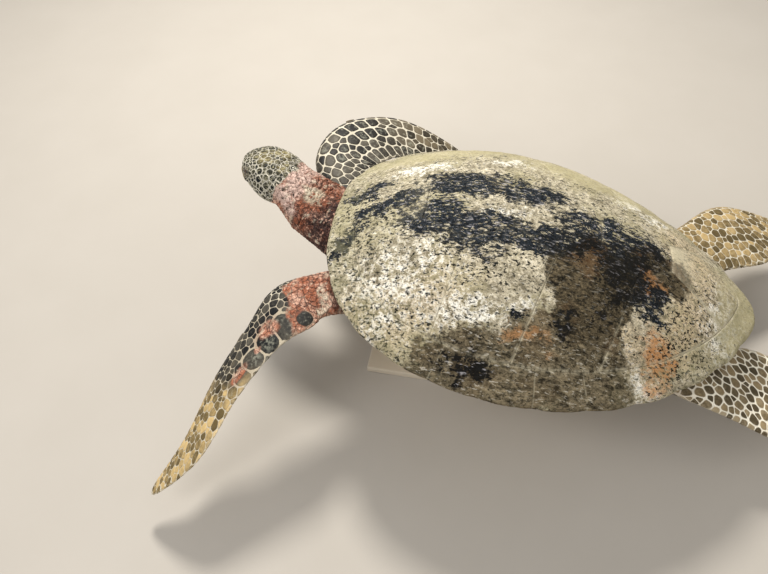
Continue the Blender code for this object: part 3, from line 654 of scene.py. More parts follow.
outer = [np.abs(np.abs(x) - BRIDGE_SEAM) + np.maximum(np.abs(y) - 0.2, 0)]
for place in BRIDGE_SEAMS:
    outer.append(np.where(np.abs(x) > BRIDGE_SEAM, np.abs(y - place), 1.0))
nearest = np.minimum.reduce(inner + outer)
groove = soft_spot(nearest / GROOVE_WIDTH)
relief = 0.0004 * lumps(lower.reshape(-1, 3), 0.09, 7, 3).reshape(x.shape)
relief = GROOVE_DEPTH * groove + np.clip(relief, -0.0006, 0.0006)
lower[..., 2] += relief + 0.003 * smooth((share - 0.985) / 0.015)
upper = belly(turn, plastron_edge(turn) * share)[::-4] - np.array([0, 0, PLASTRON_GAP])
rings = np.concatenate([lower, upper])
material, paint, inputs, place = begin("belly_horn")
cloud, vein = paint.noise(place, 12.0, 5.0, 0.6), paint.noise(place.stretch((20, 60, 20)), 1.0, 5.0, 0.6)
grime = paint.marks("seam")[0]
colour = cloud.between((0.52, 0.40, 0.20), (0.76, 0.66, 0.42)).coats(
    ((0.62, 0.42, 0.22), vein.step(0.52, 0.7) * 0.5),
    ((0.20, 0.15, 0.08), grime * 0.75),
    ((0.24, 0.22, 0.12), paint.noise(place, 90.0, 5.0, 0.65).step(0.60, 0.70) * 0.35),
)
join(paint, inputs, colour, 0.36 + cloud * 0.2, paint.noise(place, 160.0, 4.0), 0.0006, 0.5)
plastron = loft("belly_plate", rings, material, "plastron")
mark(plastron, "seam", np.concatenate([groove.ravel(), np.zeros(upper[..., 0].size)]))

# ---------------------------------------------------------------------------------------------------------
# The skin: one soft hide over head, neck, trunk, flippers and tail. Each length is lofted in even rings, the
# lengths are united, and the hollows where they meet are eased.

COAT_DEPTH = 0.0010
HEAD_TURN = math.radians(-29)
HEAD_DOWN = math.radians(4)
HEAD_BACK = (-0.094, -0.520, 0.008)
HEAD_LENGTH = 0.155
MOUTH_HEIGHT = -0.014
JAW_CORNER = -0.066
# Slices of each limb: (place, direction of the leading edge, half chord, half thickness)
LIMB_SHAPES = {
    "front_left": [
        (0.090, -0.240, -0.050, -0.83, -0.55, 0.0, 0.068, 0.044),
        (0.166, -0.388, -0.047, -0.80, -0.60, 0.0, 0.057, 0.036),
        (0.220, -0.439, -0.050, -0.76, -0.64, -0.1, 0.068, 0.030),
        (0.291, -0.481, -0.079, -0.66, -0.68, -0.38, 0.058, 0.021),
        (0.380, -0.527, -0.140, -0.66, -0.58, -0.52, 0.063, 0.014),
        (0.490, -0.564, -0.213, -0.66, -0.58, -0.54, 0.051, 0.010),
        (0.566, -0.637, -0.316, -0.66, -0.58, -0.54, 0.012, 0.005),
    ],
    "front_right": [
        (-0.090, -0.240, -0.050, 0.60, -0.80, 0.0, 0.068, 0.044),
        (-0.170, -0.370, -0.045, 0.30, -0.95, 0.0, 0.066, 0.036),
        (-0.258, -0.428, -0.038, -0.15, -1.00, 0.0, 0.076, 0.030),
        (-0.348, -0.402, -0.032, -0.52, -0.85, 0.05, 0.084, 0.021),
        (-0.418, -0.318, -0.045, -0.90, -0.42, 0.05, 0.076, 0.014),
        (-0.436, -0.205, -0.080, -0.98, -0.10, 0.05, 0.058, 0.010),
        (-0.452, -0.066, -0.130, -0.98, 0.0, 0.05, 0.013, 0.005),
    ],
    "hind_left": [
        (0.090, 0.290, -0.065, 1.0, -0.2, 0.0, 0.060, 0.042),
        (0.126, 0.410, -0.066, 1.0, -0.1, 0.0, 0.074, 0.034),
        (0.128, 0.520, -0.075, 1.0, -0.05, -0.05, 0.094, 0.020),
        (0.128, 0.630, -0.095, 1.0, -0.05, -0.05, 0.106, 0.012),
        (0.140, 0.758, -0.125, 1.0, -0.1, -0.1, 0.036, 0.005),
    ],
    "hind_right": [
        (-0.090, 0.290, -0.065, -1.0, -0.3, 0.0, 0.060, 0.042),
        (-0.176, 0.402, -0.066, -0.8, -0.6, 0.0, 0.062, 0.034),
        (-0.268, 0.500, -0.066, -0.86, -0.50, 0.05, 0.080, 0.020),
        (-0.364, 0.618, -0.076, -0.90, -0.42, 0.05, 0.098, 0.012),
        (-0.440, 0.752, -0.100, -0.90, -0.42, 0.05, 0.036, 0.005),
    ],
    "tail": [
        (0.0, 0.340, -0.080, 1.0, 0.0, 0.0, 0.050, 0.040),
        (0.0, 0.430, -0.082, 1.0, 0.0, 0.0, 0.038, 0.032),
        (-0.005, 0.500, -0.084, 1.0, 0.0, 0.0, 0.022, 0.022),
        (-0.010, 0.555, -0.092, 1.0, 0.0, 0.0, 0.007, 0.009),
    ],
}
# The neck, from the trunk to the head: (place, half width, half height)
NECK = [
    (0.0, -0.200, -0.045, 0.090, 0.045),
    (-0.018, -0.310, -0.040, 0.098, 0.060),
    (-0.049, -0.400, -0.028, 0.090, 0.058),
    (-0.072, -0.472, -0.014, 0.079, 0.057),
]
# Head, from its joint with the neck to the snout: (share of the length, half width, top, bottom)
HEAD = [
    (0.00, 0.060, 0.046, -0.047),
    (0.20, 0.066, 0.052, -0.049),
    (0.40, 0.065, 0.053, -0.046),
    (0.60, 0.058, 0.049, -0.041),
    (0.76, 0.048, 0.041, -0.036),
    (0.89, 0.034, 0.028, -0.031),
    (0.97, 0.019, 0.014, -0.025),
    (1.00, 0.007, 0.002, -0.017),
]


def unit(rows):
    return rows / np.maximum(np.linalg.norm(rows, axis=-1, keepdims=True), 1e-12)


def spline(values, t):
    """A smooth curve through rows of numbers, at shares t."""
    values = np.asarray(values, float)
    last = len(values) - 1
    at = np.clip(t, 0.0, 1.0) * last
    i = np.minimum(at.astype(int), last - 1)
    f = (at - i).reshape(-1, *[1] * (values.ndim - 1))
    p, q = values[np.maximum(i - 1, 0)], values[i]
    r, s = values[i + 1], values[np.minimum(i + 2, last)]
    return 0.5 * (2 * q + (r - p) * f + (2 * p - 5 * q + 4 * r - s) * f**2 + (3 * q - p - 3 * r + s) * f**3)


def heading(slices, t):
    """Which way a run of slices goes at shares t."""
    return unit(spline(slices, t + 0.01)[:, :3] - spline(slices, t - 0.01)[:, :3])


def even_ring(ring, sides):
    """A closed ring of points an even length apart, from its first point on."""
    closed = np.vstack([ring, ring[:1]])
    run = np.concatenate([[0], np.cumsum(np.linalg.norm(np.diff(closed, axis=0), axis=1))])
    aim = np.arange(sides) / sides * run[-1]
    return np.stack([np.interp(aim, run, closed[:, k]) for k in range(3)], axis=1)


class Chart:
    """A tube of skin as even rings, with its unwrapped lengths: u along it and v around it, in metres."""

    def __init__(self, points):
        self.points = points
        steps = np.linalg.norm(np.diff(points, axis=0), axis=2).mean(axis=1)
        self.along = np.concatenate([[0], np.cumsum(steps)])
        closed = np.concatenate([points, points[:, :1]], axis=1)
        self.around = np.linalg.norm(np.diff(closed, axis=1), axis=2).sum(axis=1)
        self.renew()

    def renew(self):
        """Works out which way is outwards at each point."""
        across = np.roll(self.points, -1, axis=1) - np.roll(self.points, 1, axis=1)
        down = np.gradient(self.points, axis=0)
        normals = unit(np.cross(across, down))
        middle = self.points.mean(axis=1, keepdims=True)
        flip = np.sign(((self.points - middle) * normals).sum(axis=2).mean())
        self.normals = normals * flip

    def girth(self, u):
        return np.interp(u, self.along, self.around)

    def lumps(self, size, seed):
        return lumps(self.points.reshape(-1, 3), size, seed, 3).reshape(self.points.shape[:2])

    def push(self, lift):
        """Moves the skin outwards by a length for each point."""
        self.points = self.points + self.normals * lift[..., None]
        self.renew()

    def read(self, grid, u, v):
        """Values of a grid over the chart, such as its points, at places between them."""
        rows, sides = grid.shape[:2]
        row = np.interp(u, self.along, np.arange(rows))
        column = (v / self.girth(u) * sides) % sides
        i, j = np.minimum(row.astype(int), rows - 2), column.astype(int) % sides
        f, g = (row - i)[..., None], (column - np.floor(column))[..., None]
        k = (j + 1) % sides
        near, far = grid[i, j] * (1 - g) + grid[i, k] * g, grid[i + 1, j] * (1 - g) + grid[i + 1, k] * g
        return near * (1 - f) + far * f


def limb_chart(slices, stations, sides):
    """A limb from its root to its tip: v is 0 on the blunt leading edge, and the trailing edge is thin."""
    t = np.linspace(0, 1, stations)
    now, axis = spline(slices, t), heading(slices, t)
    lead = now[:, 3:6]
    lead = unit(lead - axis * (lead * axis).sum(axis=1, keepdims=True))
    up = np.cross(lead, axis)
    end = np.sqrt(np.maximum(1 - np.clip((t - 0.95) / 0.05, 0, 1) ** 2, 0.0004))
    chord, thick = (now[:, 6] - COAT_DEPTH) * end, (now[:, 7] - COAT_DEPTH) * end
    angle = turns(240)
    c, s = np.cos(angle), np.sin(angle)
    rings = []
    for k in range(stations):
        ring = now[k, :3] + np.outer(c * chord[k], lead[k])
        rings.append(even_ring(ring + np.outer(s * thick[k] * (0.68 + 0.32 * c), up[k]), sides))
    return Chart(np.array(rings))


def head_slices(shares, angle):
    """Slices of the head in its own frame: full cheeks, a flatter crown and a rounded throat."""
    stations = [row[0] for row in HEAD]
    t = np.interp(shares, stations, np.linspace(0, 1, len(HEAD)))
    _, wide, top, bottom = spline(HEAD, t).T
    middle = 0.45 * top + 0.55 * bottom
    c, s = np.cos(angle), np.sin(angle)
    power = 0.85
    x = np.outer(wide - COAT_DEPTH * (1 - 0.5 * (shares > 0.99)), np.copysign(np.abs(c) ** power, c))
    reach = np.where(s > 0, (top - middle)[:, None], (middle - bottom)[:, None]) - COAT_DEPTH
    z = middle[:, None] + np.copysign(np.abs(s) ** power, s) * reach
    y = np.repeat((-shares * HEAD_LENGTH)[:, None], len(angle), axis=1)
    return np.stack([x, y, z], axis=-1)


def neck_slices(t, angle):
    """Slices of the neck, upright and square to its run."""
    now, axis = spline(NECK, t), heading(NECK, t)
    left = unit(np.cross(np.array([0, 0, 1.0]), axis))
    left *= np.sign(left[:, :1])
    up = np.cross(left, axis)
    up *= np.sign(up[:, 2:])
    wide, high = now[:, 3] - COAT_DEPTH, now[:, 4] - COAT_DEPTH
    return (
        now[:, None, :3]
        + left[:, None] * (wide[:, None] * np.cos(angle))[..., None]
        + up[:, None] * (high[:, None] * np.sin(angle))[..., None]
    )


HEAD_AXES = np.array(Matrix.Rotation(HEAD_TURN, 3, "Z") @ Matrix.Rotation(HEAD_DOWN, 3, "X"))


def from_head(points):
    return points @ HEAD_AXES.T + np.array(HEAD_BACK)


def to_head(points):
    return (points - np.array(HEAD_BACK)) @ HEAD_AXES


NECK_SPANS, NECK_STEP, HEAD_STEP = 7, 0.0032, 0.0015


def neck_and_head_chart(sides):
    """Neck and head as one tube: v is 0 on the crown and grows towards the left side."""
    angle = math.pi / 2 - turns(480)
    neck = neck_slices(np.linspace(0, 1, 10), angle)
    shares = np.array([0, 0.1, 0.2, 0.3, 0.4, 0.5, 0.6, 0.68, 0.76, 0.83, 0.89, 0.935, 0.97, 1.0])
    head = from_head(head_slices(shares, angle))
    rings = np.concatenate([neck, (neck[-1:] + head[:1]) / 2, head])
    middle = rings.mean(axis=1)
    spread = np.linalg.norm(np.diff(middle, axis=0), axis=1)
    at = [0.0]
    for number, length in enumerate(spread):
        step = NECK_STEP if number < NECK_SPANS else HEAD_STEP
        count = max(int(round(length / step)), 2)
        at += [number + (k + 1) / count for k in range(count)]
    fine = spline(rings, np.array(at) / (len(rings) - 1))
    tip = fine[-1].mean(axis=0)
    fine = np.concatenate([fine, [tip + (fine[-1] - tip) * 0.5 + (tip - middle[-2]) * 0.04]])
    return Chart(np.array([even_ring(ring, sides) for ring in fine]))


# The eyes lie under a brow, looking outwards, a little forwards and up
EYE_PLACE = (0.0432, -0.100, 0.012)
EYE_RADIUS = 0.0138
GAZE = unit(np.array([0.90, -0.38, 0.22]))
NOSTRIL = (0.0080, -0.1475, 0.0095)
# Swellings and hollows of the head: (place on the left side, radius, how far out)
MODELLING = [
    ((0.044, -0.100, 0.036), 0.013, 0.0026),
    ((0.050, -0.080, 0.030), 0.012, 0.0016),
    ((0.034, -0.116, 0.030), 0.010, 0.0014),
    ((0.060, -0.048, -0.014), 0.022, 0.0022),
    ((0.058, -0.070, 0.012), 0.010, -0.0016),
    ((0.050, -0.103, -0.009), 0.009, 0.0012),
    ((0.032, -0.128, 0.004), 0.012, -0.0012),
    ((0.056, -0.030, 0.024), 0.014, -0.0012),
    (NOSTRIL, 0.0022, -0.0026),
    ((0.012, -0.140, 0.018), 0.006, 0.0010),
    ((0.040, -0.050, -0.042), 0.018, -0.0020),
]


def to_left(place):
    """Places of the head mirrored to its left side."""
    return np.concatenate([np.abs(place[..., :1]), place[..., 1:]], axis=-1)


def from_eye(place):
    """How far places on the left side lie out along the eye's gaze, and away from it."""
    gap = place - np.array(EYE_PLACE)
    out = gap @ GAZE
    return out, np.linalg.norm(gap - out[..., None] * GAZE, axis=-1)


def mouth_line(y):
    """The height of the mouth, which rises a little towards its corners."""
    return MOUTH_HEIGHT + 0.0035 * smooth((y + 0.125) / 0.05)


LIP_RIDGE, MOUTH_GROOVE, THROAT_FOLD = 0.0009, 0.0026, 0.0008
SOCKET_OUT = 0.0068  # how far along the gaze the skin may reach over the eye
SOCKET_RADIUS, SOCKET_SLOPE = 0.0125, 0.0075


def model_head(chart):
    """Shapes the head: brow, cheek, temple, nostrils, the line of the mouth, and the hollows for the eyes."""
    place = to_left(to_head(chart.points))
    lift = np.zeros(place.shape[:2])
    for centre, radius, amount in MODELLING:
        lift += amount * soft_spot(np.linalg.norm(place - np.array(centre), axis=2) / radius)
    y, z = place[..., 1], place[..., 2]
    above = z - mouth_line(y)
    ahead = smooth((JAW_CORNER + 0.004 - y) / 0.010)
    ridge, groove = soft_spot((above - 0.005) / 0.003), soft_spot(above / 0.0016)
    lift += (LIP_RIDGE * ridge - MOUTH_GROOVE * groove) * ahead
    throat = smooth((y + 0.03) / 0.03) * smooth(-z / 0.02) * smooth((0.04 - y) / 0.03)
    lift += THROAT_FOLD * np.sin(z * 260 + y * 90) * throat
    chart.points = chart.points + chart.normals * lift[..., None]
    place = to_head(chart.points)
    out, wide = from_eye(to_left(place))
    sink = np.maximum(out - SOCKET_OUT, 0) * (1 - smooth((wide - SOCKET_RADIUS) / SOCKET_SLOPE))
    gaze = GAZE * np.sign(place[..., :1]) ** np.array([1, 0, 0])
    chart.points = from_head(place - gaze * sink[..., None])
    chart.renew()


def fold_at(phase):
    """Narrow folds between broad rolls: 1 in a fold's line and 0 on the rolls."""
    return np.maximum(1 - 1.6 * np.abs(np.sin(phase)) ** 0.7, 0)


NECK_FOLD, NECK_CREASE, NECK_LUMP = 0.0052, 0.0009, 0.0016
FOLD_PITCH, CREASE_PITCH = 230, 520  # radians a metre


def fold_neck(chart):
    """Loose skin of the neck: rings of folds, deeper on the side that the head turns to, and fine creases."""
    u = chart.along[:, None]
    turn = turns(chart.points.shape[1])[None]
    wander, fine = chart.lumps(0.10, 3), chart.lumps(0.022, 4)
    head_start = chart.along[-1] - HEAD_LENGTH
    here = smooth((u - 0.05) / 0.06) * smooth((head_start + 0.022 - u) / 0.030)
    fold = fold_at(u * FOLD_PITCH + wander * 2.2 + 0.8 * np.sin(3 * turn)) * (0.65 - 0.35 * np.sin(turn))
    crease = np.sin(u * CREASE_PITCH + wander * 4 + fine * 1.2)
    lift = here * (-NECK_FOLD * fold + NECK_CREASE * crease + NECK_LUMP * fine - 0.0006)
    chart.push(np.clip(lift, -0.0065, 0.0006))


head_chart = neck_and_head_chart(272)
fold_neck(head_chart)
model_head(head_chart)
charts = {"neck": head_chart}
# How finely each limb is laid out: (limb, rings along it, points round it)
LIMB_GRIDS = [
    ("front_left", 170, 72), ("front_right", 170, 76), ("hind_left", 110, 76), ("hind_right", 120, 72),
    ("tail", 50, 48),
]
for part, stations, sides in LIMB_GRIDS:
    charts[part] = limb_chart(LIMB_SHAPES[part], stations, sides)
ROOT_PITCH = 210  # radians a metre
# Folds across each limb where it leaves the body: (limb, how far they reach, depth, seed)
ROOT_FOLDS = [
    ("front_left", 0.30, 0.0022, 10), ("front_right", 0.28, 0.0022, 11),
    ("hind_left", 0.20, 0.0018, 9), ("hind_right", 0.20, 0.0018, 10),
]
for part, reach, depth, seed in ROOT_FOLDS:
    chart = charts[part]
    u = chart.along[:, None]
    fold = fold_at(u * ROOT_PITCH + 2.0 * chart.lumps(0.07, seed))
    chart.push(-smooth((reach - u) / (reach * 0.5)) * depth * fold)


def tube_mesh(name, rings):
    """A closed tube through rings, as a loose object that is used up in the union."""
    mesh = bpy.data.meshes.new(name)
    mesh.from_pydata(rings.reshape(-1, 3).tolist(), [], tube_faces(*rings.shape[:2]))
    obj = bpy.data.objects.new(name, mesh)
    bpy.context.collection.objects.link(obj)
    outward(obj)
    return obj


UNDER_PLATES = PLATE_THICK + 0.0035  # how far the skin lies under the shell's outer face
TRUNK_SIDES = 96


def trunk_rings():
    """The trunk in rings: under the shell from its middle outwards, then inwards over the belly."""
    phi = math.pi * (2 * (np.arange(TRUNK_SIDES) + 0.5) / TRUNK_SIDES - 1)
    tops = [0.04, 0.2, 0.35, 0.5, 0.62, 0.72, 0.78, 0.82]
    unders = [0.845, 0.82, 0.78, 0.74, 0.70, 0.66, 0.62, 0.58, 0.54, 0.48, 0.35, 0.2, 0.04]
    rings = [shell_top(phi, np.full(TRUNK_SIDES, rho)) - np.array([0, 0, UNDER_PLATES]) for rho in tops]
    return np.array(rings + [belly(phi, np.full(TRUNK_SIDES, rho)) for rho in unders])


base = tube_mesh("trunk_form", trunk_rings())
others = bpy.data.collections.new("skin_forms")
bpy.context.scene.collection.children.link(others)
forms = []
for name, chart in charts.items():
    form = tube_mesh(name + "_form", chart.points)
    bpy.context.collection.objects.unlink(form)
    others.objects.link(form)
    forms.append(form)
union = base.modifiers.new("union", "BOOLEAN")
union.operation, union.operand_type, union.collection, union.solver = "UNION", "COLLECTION", others, "EXACT"
bpy.context.view_layer.update()
whole = bpy.data.meshes.new_from_object(base.evaluated_get(bpy.context.evaluated_depsgraph_get()))
lofted = [trunk_rings(), *(chart.points for chart in charts.values())]
for form in [*forms, base]:
    bpy.data.objects.remove(form)
bpy.data.collections.remove(others)


def search_tree(points):
    tree = KDTree(len(points))
    for number, point in enumerate(points):
        tree.insert(point, number)
    tree.balance()
    return tree


EASE_WIDTH, EASE_SHARE, EASE_ROUNDS = 0.018, 0.6, 24
SAME_POINT = 2e-6


def ease(mesh, old_points):
    """Eases the skin beside the lines where two lengths meet, and keeps it clear of the shell.

    Points that the union has added lie on those lines. They stay, and the rest draw level with them.
    """
    count = len(mesh.vertices)
    points = np.empty(count * 3)
    mesh.vertices.foreach_get("co", points)
    points = points.reshape(-1, 3)
    tree = search_tree(old_points)
    fresh = np.array([tree.find(point)[2] > SAME_POINT for point in points])
    lines = search_tree(points[fresh])
    gap = np.array([lines.find(point)[2] for point in points])
    weight = np.where(gap > 0, 1 - smooth(gap / EASE_WIDTH), 0.0)[:, None] * EASE_SHARE
    pairs = np.empty(len(mesh.edges) * 2, np.int32)
    mesh.edges.foreach_get("vertices", pairs)
    a, b = pairs.reshape(-1, 2).T
    degree = np.bincount(np.concatenate([a, b]), minlength=count)[:, None]
    for _ in range(EASE_ROUNDS):
        total = np.stack([
            np.bincount(a, points[b, k], count) + np.bincount(b, points[a, k], count) for k in range(3)
        ], axis=1)
        points = points + (total / np.maximum(degree, 1) - points) * weight
    phi, rho = shell_place(points[:, :2])
    foot = rim_height(phi) + LIP_LIFT
    inner = 1 - RIM_WIDTH / reach_of(phi)
    roof = shell_top(phi, np.minimum(rho, inner))[:, 2] - UNDER_PLATES
    nose = foot - 0.0125
    within = smooth((0.90 - rho) / np.maximum(0.90 - inner, 0.01))
    under = nose + (roof - nose) * within + smooth((rho - 1) / 0.05)
    close = (rho < 1.05) & (points[:, 2] > -0.12)
    points[:, 2] = np.where(close, np.minimum(points[:, 2], under), points[:, 2])
    mesh.vertices.foreach_set("co", points.ravel())


ease(whole, np.concatenate([rings.reshape(-1, 3) for rings in lofted]))
bm = bmesh.new()
bm.from_mesh(whole)
bmesh.ops.dissolve_degenerate(bm, edges=bm.edges, dist=1e-6)
bmesh.ops.triangulate(bm, faces=[face for face in bm.faces if len(face.verts) > 4])
bm.to_mesh(whole)
bm.verts.ensure_lookup_table()
skin_tree = BVHTree.FromBMesh(bm)
bm.free()
skin_points = np.array([vertex.co for vertex in whole.vertices])

# How the colours lie: rust at the roots, slate and olive along the flippers, cream where the skin is worn
UPPER_SIDE = {"front_left": 1, "front_right": -1, "hind_left": 1, "hind_right": -1, "tail": 1, "neck": 1}
head_rows = -to_head(head_chart.points.mean(axis=1))[:, 1] / HEAD_LENGTH


def head_share(u):
    """Share of the head's length at a place along the neck's chart: below 0 on the neck."""
    return np.interp(u, head_chart.along, head_rows)


# One of these marks is painted shade, where neck and limbs go in under the shell
MARKS = ("rust", "pale", "olive", "crown", "painted_shade", "net", "mauve")
# Bare rust between the near flipper's plates: (share of its length, spread, how far round, spread)
RUST_SPOTS = [(0.415, 0.035, 0.30, 0.085), (0.555, 0.035, 0.36, 0.050), (0.470, 0.014, 0.36, 0.03)]


def bent_side(w):
    """How much further forward the head's plates start on the side that the neck bends towards."""
    return 0.09 * smooth((-w - 0.03) / 0.09)


def markings(part, u, w, points):
    """How much of each colour lies at places of a chart; u in metres, w from -0.5 to 0.5 round it."""
    drift = 0.5 * lumps(points, 0.06, 11, 3)
    spot = smooth((lumps(points, 0.035, 12, 3) - 0.75) / 0.35)
    nothing = np.zeros(len(u))
    marks = {name: nothing for name in MARKS}
    if part == "neck":
        share = head_share(u)
        across = np.abs(w)
        back = -0.040 + 0.20 * (2 * across) ** 1.5 + bent_side(w)
        crown = smooth((share - back + 0.05 * drift) / 0.03)
        rust = 1 - crown
        patch = soft_spot((share + 0.42 + 0.08 * drift) / 0.17, (w - 0.05) / 0.07)
        pale = np.maximum(spot * 0.6, smooth((patch - 0.35) / 0.4) * 0.9) * rust
        pale = np.maximum(pale, rust * smooth((across - 0.38) / 0.08) * 0.8)
        pale = np.maximum(pale, crown * smooth((across - 0.37) / 0.06) * 0.9)
        marks.update(rust=rust, pale=pale, crown=crown, net=0.35 + 0.65 * crown)
        # Painted shade on the neck where it goes in under the shell, and fainter along the rest of it
        collar = smooth((0.225 + 0.06 * smooth((w + 0.05) / 0.1) - u + 0.03 * drift) / 0.06)
        marks["painted_shade"] = rust * np.maximum(collar, smooth((-0.10 - share) / 0.3) * 0.3)
        mauve = rust * smooth((share + 0.36 + 0.10 * drift) / 0.14)
        marks["mauve"] = mauve * (1 - smooth((across - 0.20) / 0.08))
        marks["olive"] = crown * (1 - smooth((across - 0.09) / 0.05)) * smooth((share + 0.02) / 0.1)
        return marks
    if part == "lids":
        marks.update(rust=nothing + 0.08, crown=nothing + 1, net=nothing + 0.3)
        return marks
    t = u / charts[part].along[-1] if part in charts else nothing
    above = smooth(np.sin(2 * math.pi * w) * UPPER_SIDE.get(part, 1) * 2 + 0.5)
    if part == "front_left":
        across = np.clip(w, 0, 0.5)
        edge = 0.235 + 0.26 * across + 0.02 * drift
        rust = 1 - smooth((t - edge) / 0.045)
        for at, wide, share, tall in RUST_SPOTS:
            rust = np.maximum(rust, 1.1 * soft_spot((t - at + 0.01 * drift) / wide, (w - share) / tall))
        first_plate = soft_spot((t - 0.321) / 0.026, (w - 0.425) / 0.065)
        rust = rust * (1 - smooth((first_plate - 0.3) / 0.3))
        # Painted shade at the root under the shell, and along the leading edge and underside of the rust part
        marks["painted_shade"] = np.maximum(smooth((0.215 - t) / 0.05), rust * smooth((0.06 - across) / 0.06) * 0.7)
        margin = smooth((t - 0.50) / 0.1) * smooth((w - 0.40) / 0.06)
        marks["olive"] = np.maximum(smooth((t - 0.56 + 0.05 * drift) / 0.12), margin)
        pale_net = soft_spot((t - 0.315) / 0.06, (w - 0.10) / 0.08)
        marks["net"] = 0.04 + 0.20 * smooth((t - 0.5) / 0.2) + 0.39 * pale_net
        patch = 1.2 * soft_spot((t - 0.225) / 0.016, (w - 0.33) / 0.09)
        patch = np.maximum(patch, 0.9 * soft_spot((t - 0.25) / 0.03, (w - 0.45) / 0.03))
        spot = np.maximum(spot * 0.6, smooth((patch - 0.3 + 0.15 * drift) / 0.3))
    elif part == "front_right":
        rust = 0.8 * (1 - smooth((t - 0.14 - 0.04 * drift) / 0.12))
        marks["olive"] = 0.16 * smooth((t - 0.5) / 0.3)
        marks["net"] = nothing + 0.46
        # Painted shade at the root, under the shell
        marks["painted_shade"] = smooth((0.20 - t) / 0.06)
    elif part == "hind_left":
        rust = 0.5 * (1 - smooth((t - 0.15) / 0.2)) + 0.15 * smooth(drift)
        marks["olive"], marks["net"] = nothing + 0.40, nothing + 3.0
    elif part == "hind_right":
        rust = 0.4 * (1 - smooth((t - 0.2) / 0.2))
        marks["olive"], marks["net"] = nothing + 0.85, nothing + 0.55
    else:
        flank = smooth((0.25 - np.abs(points[:, 1] - 0.02)) / 0.10) if part == "trunk" else nothing
        rust = 0.6 * (1 - flank)
        marks["olive"], marks["net"] = nothing + 0.2, 0.4 + 0.6 * flank
    pale = spot * 0.75 * smooth(rust + 0.25)
    marks["pale"] = np.maximum(pale, (1 - above) * 0.85)
    marks["rust"] = rust
    return marks


def mark_all(piece, rows):
    for name, row in rows.items():
        mark(piece, name, row)


